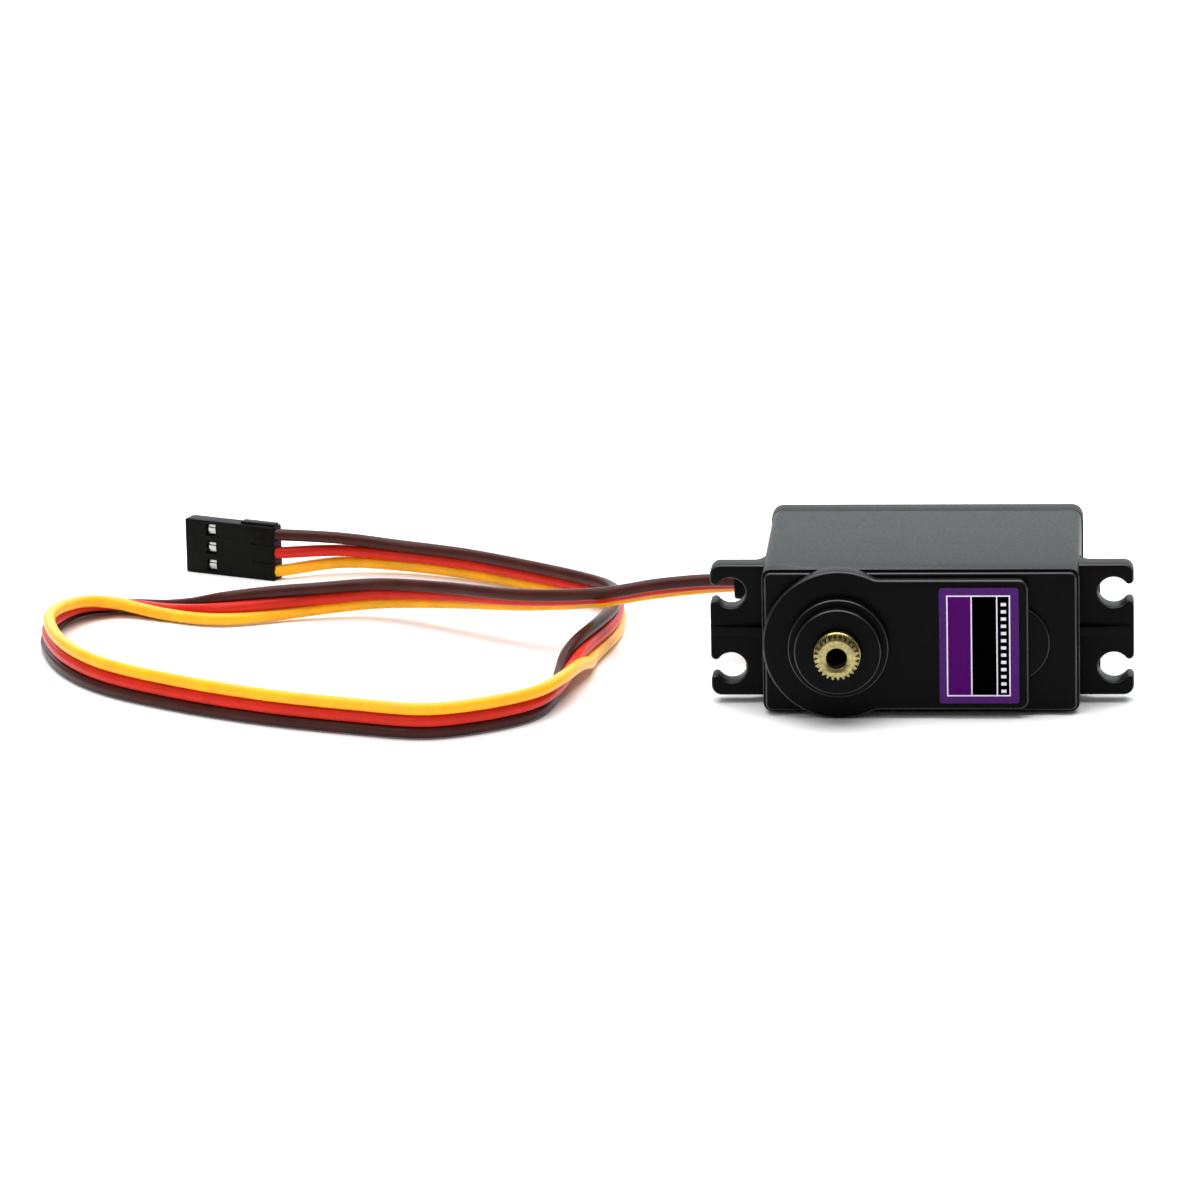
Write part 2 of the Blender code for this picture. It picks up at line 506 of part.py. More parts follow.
def make_output_gear():
    """Wheel, collar, splined end and lower shaft in one piece, with the screw bore."""
    wheel = gear_outline(30, 0.50 * MM, False, 0.08 * MM, 0.9)
    gear = prism("output_gear", [wheel], 33.4 * MM, 34.7 * MM, BRASS, (OUTPUT_X, 0, 0))
    collar_top = SPLINE_LOW + 0.1 * MM
    shaft = [(0, collar_top), (COLLAR_RADIUS, collar_top), (COLLAR_RADIUS, 34.0 * MM),
             (SHAFT_RADIUS, 34.0 * MM), (SHAFT_RADIUS, 26.9 * MM), (0, 26.9 * MM)]
    combine(gear, turned("output_shaft", shaft, BRASS, (OUTPUT_X, 0, 0)), "UNION")
    spline = gear_outline(25, 0.218 * MM, True, 0.0, 1.0, 2)
    teeth = prism("output_spline", [spline], SPLINE_LOW, SHAFT_TOP, BRASS, (OUTPUT_X, 0, 0))
    combine(gear, teeth, "UNION")
    chamfer = [(4.0 * MM, SHAFT_TOP + 0.5 * MM), (4.0 * MM, SHAFT_TOP - 0.5 * MM),
               (3.0 * MM, SHAFT_TOP - 0.5 * MM), (2.4 * MM, SHAFT_TOP + 0.5 * MM)]
    combine(gear, turned("spline_chamfer", chamfer, BRASS, (OUTPUT_X, 0, 0)))
    bore = [(0, SHAFT_TOP + MM), (2.9 * MM, SHAFT_TOP + MM),
            (HORN_SCREW_BORE, SHAFT_TOP - 0.55 * MM), (HORN_SCREW_BORE, 35.0 * MM),
            (0, 34.3 * MM)]
    combine(gear, turned("screw_bore", bore, BRASS, (OUTPUT_X, 0, 0)))
    tab = box("stop_tab", (-7.3 * MM, -1.2 * MM, 32.3 * MM), (-5.6 * MM, 1.2 * MM, 33.5 * MM), BRASS)
    tab.location.x = OUTPUT_X
    combine(gear, tab, "UNION")
    slot = box("key_slot", (-0.6 * MM, -3 * MM, 26 * MM), (0.6 * MM, 3 * MM, 28.2 * MM), BRASS)
    slot.location.x = OUTPUT_X
    combine(gear, slot)


def make_pins_and_bearings():
    pins = {"gear_pin_center": (CENTER_X, 27.3 * MM, 35.4 * MM),
            "gear_pin_motor": (MOTOR_X, 31.1 * MM, 34.0 * MM)}
    for name, (x, low, high) in pins.items():
        profile = [(0, high), (PIN_RADIUS, high), (PIN_RADIUS, low), (0, low)]
        turned(name, profile, STEEL, (x, 0, 0), 12)
    output = (OUTPUT_X, 0, 0)
    ring("bearing_upper_inner", 3.3 * MM, 3.7 * MM, 36.3 * MM, 38.7 * MM, BEARING_STEEL, output)
    ring("bearing_upper_outer", 4.05 * MM, 4.7 * MM, 36.3 * MM, 38.7 * MM, BEARING_STEEL, output)
    ring("bearing_lower_inner", 2.2 * MM, 2.9 * MM, 27.1 * MM, 28.7 * MM, BEARING_STEEL, output)
    ring("bearing_lower_outer", 3.25 * MM, 4.3 * MM, 27.1 * MM, 28.7 * MM, BEARING_STEEL, output)


# ---------------------------------------------------------------- motor
def flat_sided_circle(radius, flat, steps=10):
    """A circle with two flats at y = +-flat."""
    angle = math.degrees(math.asin(flat / radius))
    return (arc((0, 0), radius, -angle, angle, steps)
            + arc((0, 0), radius, 180 - angle, 180 + angle, steps))


def make_motor():
    at = (MOTOR_X, 0, 0)
    skin = 0.7 * MM
    can = prism("motor_can", [flat_sided_circle(MOTOR_RADIUS, MOTOR_FLAT)], MOTOR_LOW, MOTOR_HIGH,
                MOTOR_STEEL, at)
    inside = prism("can_hollow", [flat_sided_circle(MOTOR_RADIUS - skin, MOTOR_FLAT - skin)],
                   MOTOR_LOW - MM, MOTOR_HIGH - skin, MOTOR_STEEL, at)
    combine(can, inside)
    nose = turned("can_nose", [(0, 28.3 * MM), (2.4 * MM, 28.3 * MM), (2.4 * MM, 25 * MM),
                               (0, 25 * MM)], MOTOR_STEEL, at)
    combine(can, nose, "UNION")
    cutter = turned("can_shaft_hole", [(0, 29 * MM), (1.3 * MM, 29 * MM), (1.3 * MM, 24 * MM),
                                       (0, 24 * MM)], MOTOR_STEEL, at)
    combine(can, cutter)
    holes = [circle((sx * MOTOR_SCREW_X, 0), 0.9 * MM, 10) for sx in (-1, 1)]
    for k, hole in enumerate(holes):
        combine(can, prism(f"can_screw_hole_{k}", [hole], 24 * MM, 28 * MM, MOTOR_STEEL, at))

    prism("motor_end_cap", [flat_sided_circle(MOTOR_RADIUS, MOTOR_FLAT),
                            circle((0, 0), 1.3 * MM, 12), circle((0, 5.0 * MM), 1.1 * MM, 8),
                            circle((0, -5.0 * MM), 1.1 * MM, 8)],
          7.2 * MM, MOTOR_LOW - GAP, WHITE_PLASTIC, at)
    shaft = [(0, 30.8 * MM), (0.5 * MM, 30.8 * MM), (0.5 * MM, 28.4 * MM), (1.0 * MM, 28.0 * MM),
             (1.0 * MM, 7.0 * MM), (0, 7.0 * MM)]
    turned("motor_shaft", shaft, STEEL, at, 16)
    pinion = gear_outline(10, 0.30 * MM, True, 0.05 * MM, 0.9)
    prism("motor_pinion", [pinion, circle((0, 0), 0.8 * MM, 12)], 28.9 * MM, 30.7 * MM, BRASS, at)

    slot_angle, core = 14.0, 3.1 * MM   # degrees between pole tips, radius under the windings
    poles = []
    for centre in (0, 120, 240):
        tip = 60 - slot_angle / 2
        poles += arc((0, 0), 5.6 * MM, centre - tip, centre + tip, 8)
        poles += arc((0, 0), core, centre + 60 - slot_angle, centre + 60 + slot_angle, 2)
    bore = circle((0, 0), 1.3 * MM, 12)
    prism("armature", [poles, bore], 11.2 * MM, 23.5 * MM, COPPER, at)
    ring("commutator", 1.3 * MM, 2.3 * MM, 9.0 * MM, 10.8 * MM, COPPER, at, 18)
    for name, facing in (("magnet_left", 180), ("magnet_right", 0)):
        outline = arc((0, 0), 7.7 * MM, facing - 44, facing + 44, 8)
        outline += arc((0, 0), 6.0 * MM, facing + 44, facing - 44, 8)
        prism(name, [outline], 10.5 * MM, 24.5 * MM, MAGNET, at)
    for name, sign in (("motor_terminal_plus", 1), ("motor_terminal_minus", -1)):
        blade = box(name, (-0.7 * MM, sign * 5.0 * MM - 0.25 * MM, 4.75 * MM),
                    (0.7 * MM, sign * 5.0 * MM + 0.25 * MM, 10.0 * MM), COPPER)
        blade.location = at
        arm_low, arm_high = sorted((sign * 2.65 * MM, sign * 5.2 * MM))
        arm = box(name + "_brush", (-0.5 * MM, arm_low, 9.2 * MM), (0.5 * MM, arm_high, 9.9 * MM),
                  COPPER)
        arm.location = at
        combine(blade, arm, "UNION")
    screw = [(0, 28.8 * MM), (1.1 * MM, 28.8 * MM), (1.1 * MM, 28.0 * MM), (0.6 * MM, 28.0 * MM),
             (0.6 * MM, 25.2 * MM), (0, 25.2 * MM)]
    for number, sign in enumerate((-1, 1), start=1):
        turned(f"motor_screw_{number}", screw, STEEL, (MOTOR_X + sign * MOTOR_SCREW_X, 0, 0), 10)


# ---------------------------------------------------------------- electronics and lead
def make_electronics():
    at = (OUTPUT_X, 0, 0)
    pot = turned("potentiometer_body", [(0, 24.6 * MM), (6.3 * MM, 24.6 * MM), (6.3 * MM, 19.4 * MM),
                                        (0, 19.4 * MM)], MOTOR_STEEL, at)
    neck = turned("pot_neck", [(0, 26.5 * MM), (3.2 * MM, 26.5 * MM), (3.2 * MM, 24 * MM),
                               (0, 24 * MM)], MOTOR_STEEL, at)
    combine(pot, neck, "UNION")
    well = turned("pot_well", [(0, 27 * MM), (1.9 * MM, 27 * MM), (1.9 * MM, 21 * MM), (0, 21 * MM)],
                  MOTOR_STEEL, at)
    combine(pot, well)
    key = turned("potentiometer_shaft", [(0, 26.6 * MM), (1.5 * MM, 26.6 * MM), (1.5 * MM, 21.4 * MM),
                                         (0, 21.4 * MM)], WHITE_PLASTIC, at, 16)
    blade = box("key_blade", (-0.3 * MM, -1.4 * MM, 26 * MM), (0.3 * MM, 1.4 * MM, 27.8 * MM),
                WHITE_PLASTIC)
    blade.location = at
    combine(key, blade, "UNION")

    board = prism("control_board", [rounded_box(-15 * MM, 15 * MM, -7.4 * MM, 7.4 * MM, 0.5 * MM, 1)],
                  5.1 * MM, 6.1 * MM, BOARD_GREEN)
    for k, sign in enumerate((-1, 1)):
        hole = rounded_box(MOTOR_X - 1.1 * MM, MOTOR_X + 1.1 * MM, sign * 5.0 * MM - 0.6 * MM,
                           sign * 5.0 * MM + 0.6 * MM, 0.1 * MM, 1)
        cut_prism(board, f"board_slot_{k}", hole, 4 * MM, 7 * MM)
    box("control_chip", (-9.5 * MM, -3.2 * MM, 3.3 * MM), (-3.0 * MM, 3.2 * MM, 4.8 * MM), CHIP_BLACK)
    box("driver_chip", (-1.2 * MM, -2.0 * MM, 3.3 * MM), (3.8 * MM, 2.0 * MM, 4.8 * MM), CHIP_BLACK)
    turned("capacitor", [(0, 12.5 * MM), (2.0 * MM, 12.5 * MM), (2.0 * MM, 6.4 * MM), (0, 6.4 * MM)],
           CAPACITOR, (-6.5 * MM, 0, 0), 16)


def make_grommet():
    """Tapered rubber sleeve with a flange on each side of the case wall."""
    center = BACK_Y - LEAD_Y
    wall_out, wall_in = -CASE_LENGTH / 2 - GAP, -CASE_LENGTH / 2 + WALL + GAP
    stations = [(GROMMET_FACE_X, 2.55, 1.05), (GROMMET_FACE_X + 0.5 * MM, 2.75, 1.3),
                (wall_out - 1.0 * MM, 2.95, 1.75), (wall_out - 0.9 * MM, 3.3, 2.2),
                (wall_out, 3.3, 2.2), (wall_out + 0.01 * MM, 2.55, 1.55),
                (wall_in - 0.01 * MM, 2.55, 1.55), (wall_in, 3.2, 2.1), (wall_in + MM, 3.2, 2.1)]
    mesh = bpy.data.meshes.new("cable_grommet")
    shape = bmesh.new()
    loops = []
    for x, half_z, half_y in stations:
        outline = rounded_box(-half_y * MM, half_y * MM, -half_z * MM, half_z * MM,
                              min(half_y, half_z) * 0.6 * MM, 3)
        loops.append([shape.verts.new((x, y, center + z)) for y, z in outline])
    for lower, upper in zip(loops, loops[1:]):
        for k in range(len(lower)):
            after = (k + 1) % len(lower)
            shape.faces.new((lower[k], lower[after], upper[after], upper[k]))
    shape.faces.new(loops[0])
    shape.faces.new(loops[-1])
    bmesh.ops.recalc_face_normals(shape, faces=shape.faces)
    shape.to_mesh(mesh)
    shape.free()
    add_object("cable_grommet", mesh, BLACK_RUBBER)


def smooth_route(rows, per_span=12):
    """Catmull-Rom curve through the route's rows."""
    rows = [[2 * a - b for a, b in zip(rows[0], rows[1])], *rows,
            [2 * a - b for a, b in zip(rows[-1], rows[-2])]]
    out = []
    for before, start, stop, after in zip(rows, rows[1:], rows[2:], rows[3:]):
        for k in range(per_span):
            t = k / per_span
            out.append([0.5 * (2 * b + (c - a) * t + (2 * a - 5 * b + 4 * c - d) * t * t
                               + (3 * b - a - 3 * c + d) * t ** 3)
                        for a, b, c, d in zip(before, start, stop, after)])
    return out + [list(rows[-2])]


def wire_points(offset, count):
    """World points of one wire; offset is -1 for brown, 0 for red and 1 for orange."""
    rows = smooth_route(LEAD_ROUTE)
    middle = [Vector(row[:3]) * MM for row in rows]
    path = []
    for k, row in enumerate(rows):
        ahead = middle[min(k + 1, len(rows) - 1)] - middle[max(k - 1, 0)]
        right = ahead.cross(Vector((0, 0, 1))).normalized()
        above = right.cross(ahead).normalized()
        roll = math.radians(row[3])
        across = right * math.cos(roll) + above * math.sin(roll)
        path.append(middle[k] + across * offset * row[4] * MM)
    lengths = [0.0]
    for first, second in zip(path, path[1:]):
        lengths.append(lengths[-1] + (second - first).length)
    picked, k = [], 0
    for step in range(count):
        wanted = lengths[-1] * step / (count - 1)
        while k < len(lengths) - 2 and lengths[k + 1] < wanted:
            k += 1
        share = (wanted - lengths[k]) / (lengths[k + 1] - lengths[k])
        picked.append(path[k].lerp(path[k + 1], min(share, 1.0)))
    return picked


def make_wires():
    for offset, (name, mat) in zip((-1, 0, 1), WIRE_COLORS.items()):
        curve = bpy.data.curves.new(name, "CURVE")
        curve.dimensions = "3D"
        curve.bevel_depth, curve.bevel_resolution = WIRE_DIAMETER / 2, 2
        curve.use_fill_caps = True
        points = wire_points(offset, 70)
        spline = curve.splines.new("POLY")
        spline.points.add(len(points) - 1)
        for point, place in zip(spline.points, points):
            point.co = (*place, 1)
        add_object(name, curve, mat, parent=None)


def make_connector():
    """Three-way housing standing on its long edge, with its terminals; local x runs to the wires."""
    length, thick, tall = CONNECTOR_SIZE
    place = Matrix.Translation(CONNECTOR_END) @ Matrix.Rotation(CONNECTOR_YAW, 4, "Z")
    housing = box("connector_housing", (-length, -thick / 2, -tall / 2), (0, thick / 2, tall / 2),
                  BLACK_PLASTIC, parent=None)
    housing.matrix_world = place
    ridge = box("connector_ridge", (-5.2 * MM, -0.6 * MM, tall / 2 - 0.2 * MM),
                (-0.01 * MM, 0.6 * MM, tall / 2 + 0.4 * MM), BLACK_PLASTIC, parent=None)
    ridge.matrix_world = place
    combine(housing, ridge, "UNION")
    for k, offset in enumerate((-1, 0, 1), start=1):
        z = offset * CONNECTOR_PITCH
        half = 0.85 * MM
        cavity = box(f"connector_cavity_{k}", (-length - MM, -half, z - half), (MM, half, z + half),
                     BLACK_PLASTIC, parent=None)
        window = box(f"connector_window_{k}", (-10.6 * MM, -2 * MM, z - 0.7 * MM),
                     (-9.2 * MM, 0, z + 0.7 * MM), BLACK_PLASTIC, parent=None)
        for cutter in (cavity, window):
            cutter.matrix_world = place
            combine(housing, cutter)
        slim = 0.5 * MM
        crimp = box(f"connector_terminal_{k}", (-length + 0.5 * MM, -slim, z - slim),
                    (-0.6 * MM, slim, z + slim), TERMINAL_TIN, parent=None)
        crimp.matrix_world = place


make_case_bottom()
make_case_middle()
make_case_top()
make_label()
make_case_screws()
make_gears()
make_output_gear()
make_pins_and_bearings()
make_motor()
make_electronics()
make_grommet()
make_wires()
make_connector()
bpy.context.view_layer.update()
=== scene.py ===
"""Look of the servo motor: camera, light, ribbon lead, case shells, brass shaft and materials.

Sizes are in metres. The servo is modelled upright (z up the output shaft, origin under the middle
of the bottom cover) and LAY_DOWN turns it onto its broad side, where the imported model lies.
"""
import json
import math

import bmesh
import bpy
from mathutils import Matrix, Vector


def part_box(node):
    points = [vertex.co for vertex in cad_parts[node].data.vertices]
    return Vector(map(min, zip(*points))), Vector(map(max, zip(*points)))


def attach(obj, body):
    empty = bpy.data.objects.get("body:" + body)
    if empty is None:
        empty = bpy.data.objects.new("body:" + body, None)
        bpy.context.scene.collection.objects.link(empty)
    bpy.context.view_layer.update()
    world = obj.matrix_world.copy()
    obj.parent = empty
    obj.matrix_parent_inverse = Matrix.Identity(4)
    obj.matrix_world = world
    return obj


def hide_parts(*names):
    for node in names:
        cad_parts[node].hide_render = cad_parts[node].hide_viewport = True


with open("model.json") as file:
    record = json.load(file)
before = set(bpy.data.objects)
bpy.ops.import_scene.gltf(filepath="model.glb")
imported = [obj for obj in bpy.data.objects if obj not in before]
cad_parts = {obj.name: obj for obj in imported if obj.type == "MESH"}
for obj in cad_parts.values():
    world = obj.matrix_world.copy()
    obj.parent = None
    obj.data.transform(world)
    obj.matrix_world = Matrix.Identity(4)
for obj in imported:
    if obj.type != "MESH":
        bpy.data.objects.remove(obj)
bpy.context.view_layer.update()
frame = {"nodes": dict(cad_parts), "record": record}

MM = 0.001


def box_middle(node):
    low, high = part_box(node)
    return [(a + b) / 2 for a, b in zip(low, high)]


# ---------------------------------------------------------------- sizes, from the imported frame
BACK_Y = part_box("case_bottom")[1][1]
AXIS_HEIGHT = box_middle("bearing_upper_outer")[2]
LAY_DOWN = Matrix.Translation((0, BACK_Y, AXIS_HEIGHT)) @ Matrix.Rotation(math.pi / 2, 4, "X")
OUTPUT_X = box_middle("bearing_upper_outer")[0]
CENTER_X = box_middle("gear_pin_center")[0]
CASE_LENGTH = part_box("case_top")[1][0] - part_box("case_top")[0][0]
COVER_FLARE = (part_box("case_bottom")[1][0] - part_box("case_bottom")[0][0] - CASE_LENGTH) / 2
COVER_CORNER, COVER_FLOOR = 1.5 * MM, 1.4 * MM
RIM_STEP, RIM_INSET = 33.9 * MM, 0.35 * MM
CASE_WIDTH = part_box("case_bottom")[1][2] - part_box("case_bottom")[0][2]
CASE_CORNER = 1.2 * MM
WALL = 1.3 * MM
COVER_SEAM = BACK_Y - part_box("case_bottom")[0][1]
MIDDLE_LOW = BACK_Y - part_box("case_middle")[1][1]
TOP_SEAM = BACK_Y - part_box("case_middle")[0][1]
TOP_LOW = TOP_SEAM + 0.02 * MM
STEP_2 = BACK_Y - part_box("case_top")[0][1]
SHAFT_TOP = BACK_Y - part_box("output_gear")[0][1]
EAR_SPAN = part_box("case_middle")[1][0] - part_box("case_middle")[0][0]
SHOULDER, PLATEAU = 34.7 * MM, 36.3 * MM
STEP_1, STEP_1_RADIUS, STEP_2_RADIUS = 38.0 * MM, 6.5 * MM, 5.6 * MM
BOSS_RADIUS = 9.8 * MM
LOBE_X, LOBE_RADIUS, LOBE_TOP = 11.5 * MM, 5.1 * MM, 35.5 * MM
PLATEAU_END, PLATEAU_HALF_WIDTH = 13.9 * MM, 8.6 * MM
EAR_WIDTH = 17.4 * MM
EAR_LOW, EAR_HIGH = 25.7 * MM, 29.0 * MM
EAR_CORNER, EAR_LIP, EAR_FILLET = 1.3 * MM, 0.6 * MM, 2.6 * MM
HOLE_X, HOLE_Y, HOLE_RADIUS = 24.7 * MM, 5.0 * MM, 2.0 * MM
RIB_WIDTH = 1.2 * MM
SCREW_X, SCREW_Y, POST_RADIUS, SCREW_HOLE = 17.85 * MM, 7.0 * MM, 1.85 * MM, 1.2 * MM
GEAR_PLATE = (27.0 * MM, 28.8 * MM)
SIDE_CEILING, GEAR_CEILING = 33.5 * MM, 35.0 * MM
COLLAR_RADIUS, SHAFT_RADIUS = 3.0 * MM, 1.9 * MM

WIRE_DIAMETER = 1.6 * MM
CONNECTOR_SIZE = (14.0 * MM, 2.54 * MM, 7.62 * MM)
CONNECTOR_PITCH = 2.54 * MM
CONNECTOR_END = Vector((-90.9, 54.55, 3.81)) * MM
CONNECTOR_YAW = math.radians(-23.0)
GROMMET_FACE_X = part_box("cable_grommet")[0][0]

# Ribbon lead, from the grommet to the connector: x, y, z in mm, roll in degrees, wire distance.
LEAD_ROUTE = [
    (-24.6, 15.9, 9.80, 335, 1.6),
    (-25.7, 15.9, 9.80, 332, 1.6), (-30.0, 16.0, 9.60, 327, 1.6), (-36.0, 15.9, 9.0, 326, 1.6),
    (-44.0, 16.3, 7.7, 328, 1.6), (-54.0, 21.2, 6.1, 322, 1.6), (-65.0, 28.8, 4.7, 307, 1.6),
    (-75.0, 34.1, 3.5, 293, 1.6), (-85.0, 33.3, 2.8, 278, 1.6), (-95.5, 31.2, 2.25, 232, 1.6),
    (-103.0, 34.2, 1.25, 190, 1.6), (-110.0, 36.4, 1.35, 163, 1.6), (-115.5, 33.0, 1.95, 140, 1.6),
    (-118.0, 23.4, 2.5, 104, 1.6), (-117.0, 15.1, 2.5, 97, 1.6), (-113.1, 5.1, 2.5, 96, 1.6),
    (-106.6, -3.5, 2.5, 94, 1.6), (-96.0, -11.3, 2.5, 92, 1.6), (-84.1, -17.6, 2.5, 88, 1.6),
    (-72.5, -21.8, 2.5, 86, 1.6), (-63.4, -24.1, 2.5, 83, 1.6), (-56.0, -21.4, 2.5, 80, 1.6),
    (-49.9, -16.0, 2.5, 75, 1.6), (-47.2, -8.7, 2.5, 62, 1.6), (-46.2, 1.2, 2.3, 22, 1.6),
    (-45.0, 9.8, 2.45, -55, 1.6), (-42.4, 21.5, 2.55, -78, 1.6), (-42.0, 29.0, 2.55, -82, 1.6),
    (-42.8, 34.6, 2.5, -78, 1.6), (-46.2, 39.8, 2.5, -68, 1.6), (-54.5, 46.4, 2.5, -70, 1.6),
    (-64.5, 53.3, 2.5, -70, 1.6), (-74.5, 56.9, 2.8, -70, 1.65), (-82.5, 56.9, 3.5, -74, 1.95),
    (-90.5, 54.6, 3.81, -90, 2.54), (-91.9, 55.0, 3.81, -90, 2.54),
]


# ---------------------------------------------------------------- camera, floor and light
def make_camera():
    """Long lens, looking down at 15 degrees and a little to the left, slightly rolled."""
    yaw, pitch, roll = (math.radians(a) for a in (-4.477, 15.230, -1.294))
    target, distance = Vector((-41.1, -13.35, 15.48)) * MM, 957.4 * MM
    forward = Vector((math.sin(yaw) * math.cos(pitch), math.cos(yaw) * math.cos(pitch),
                      -math.sin(pitch)))
    level = Vector((math.cos(yaw), -math.sin(yaw), 0))
    upright = level.cross(forward)
    right = level * math.cos(roll) + upright * math.sin(roll)
    above = upright * math.cos(roll) - level * math.sin(roll)
    camera = bpy.data.objects.new("camera", bpy.data.cameras.new("camera"))
    camera.data.sensor_width = 36.0
    camera.data.lens = 223.55
    camera.data.clip_start, camera.data.clip_end = 0.05, 20.0
    turn = Matrix((right, above, -forward)).transposed().to_4x4()
    camera.matrix_world = Matrix.Translation(target - forward * distance) @ turn
    bpy.context.scene.collection.objects.link(camera)
    bpy.context.scene.camera = camera


def area_light(name, location, target, size, power, color=(1, 1, 1)):
    light = bpy.data.lights.new(name, "AREA")
    light.shape, light.size, light.size_y = "RECTANGLE", size[0], size[1]
    light.energy, light.color = power, color
    obj = bpy.data.objects.new(name, light)
    obj.location = location
    aim = Vector(target) - Vector(location)
    obj.rotation_euler = aim.to_track_quat("-Z", "Y").to_euler()
    bpy.context.scene.collection.objects.link(obj)


def make_stage():
    mesh = bpy.data.meshes.new("floor")
    shape = bmesh.new()
    bmesh.ops.create_grid(shape, x_segments=1, y_segments=1, size=2.5)
    shape.to_mesh(mesh)
    shape.free()
    floor = bpy.data.objects.new("floor", mesh)
    floor.location.z = -0.00002
    bpy.context.scene.collection.objects.link(floor)
    pale = bpy.data.materials.new("floor_pale")
    pale.use_nodes = True
    shader = pale.node_tree.nodes["Principled BSDF"]
    shader.inputs["Base Color"].default_value = (0.93, 0.93, 0.93, 1)
    shader.inputs["Roughness"].default_value = 0.9
    shader.inputs["Specular IOR Level"].default_value = 0.1
    mesh.materials.append(pale)

    world = bpy.data.worlds.new("studio")
    world.use_nodes = True
    world.node_tree.nodes["Background"].inputs["Color"].default_value = (1, 1, 1, 1)
    world.node_tree.nodes["Background"].inputs["Strength"].default_value = 0.35
    bpy.context.scene.world = world
    area_light("overhead", (0.0, 0.15, 1.3), (0, 0, 0), (1.6, 1.6), 36)
    area_light("back_panel", (0.0, 1.5, 0.55), (0, 0, 0.05), (2.4, 0.9), 13, (0.90, 0.96, 1.0))
    area_light("front_left", (-0.7, -0.9, 0.9), (0, 0, 0), (0.4, 0.4), 3)
    bpy.context.scene.view_settings.view_transform = "Standard"


# ---------------------------------------------------------------- materials
def procedural(name, color, roughness, metallic=0.0, specular=0.5, vary=0.12, grain=900.0,
               bump=0.1, bump_grain=2500.0, rough_vary=0.08, stretch=(1, 1, 1)):
    """Principled material whose colour, roughness and bump come from noise in object space."""
    mat = bpy.data.materials.new(name)
    mat.use_nodes = True
    nodes, links = mat.node_tree.nodes, mat.node_tree.links
    shader = nodes["Principled BSDF"]
    shader.inputs["Metallic"].default_value = metallic
    shader.inputs["Specular IOR Level"].default_value = specular
    place = nodes.new("ShaderNodeTexCoord")
    mapping = nodes.new("ShaderNodeMapping")
    mapping.inputs["Scale"].default_value = stretch
    links.new(place.outputs["Object"], mapping.inputs["Vector"])
    broad = nodes.new("ShaderNodeTexNoise")
    broad.inputs["Scale"].default_value = grain
    broad.inputs["Detail"].default_value = 4
    links.new(mapping.outputs["Vector"], broad.inputs["Vector"])
    ramp = nodes.new("ShaderNodeValToRGB")
    ramp.color_ramp.elements[0].position, ramp.color_ramp.elements[1].position = 0.3, 0.7
    ramp.color_ramp.elements[0].color = (*[c * (1 - vary) for c in color], 1)
    ramp.color_ramp.elements[1].color = (*[min(1, c * (1 + vary)) for c in color], 1)
    links.new(broad.outputs["Fac"], ramp.inputs["Fac"])
    links.new(ramp.outputs["Color"], shader.inputs["Base Color"])
    span = nodes.new("ShaderNodeMapRange")
    span.inputs["To Min"].default_value = roughness - rough_vary
    span.inputs["To Max"].default_value = roughness + rough_vary
    links.new(broad.outputs["Fac"], span.inputs["Value"])
    links.new(span.outputs["Result"], shader.inputs["Roughness"])
    fine = nodes.new("ShaderNodeTexNoise")
    fine.inputs["Scale"].default_value = bump_grain
    fine.inputs["Detail"].default_value = 3
    links.new(mapping.outputs["Vector"], fine.inputs["Vector"])
    relief = nodes.new("ShaderNodeBump")
    relief.inputs["Strength"].default_value = bump
    relief.inputs["Distance"].default_value = 0.05 * MM
    links.new(fine.outputs["Fac"], relief.inputs["Height"])
    links.new(relief.outputs["Normal"], shader.inputs["Normal"])
    return mat


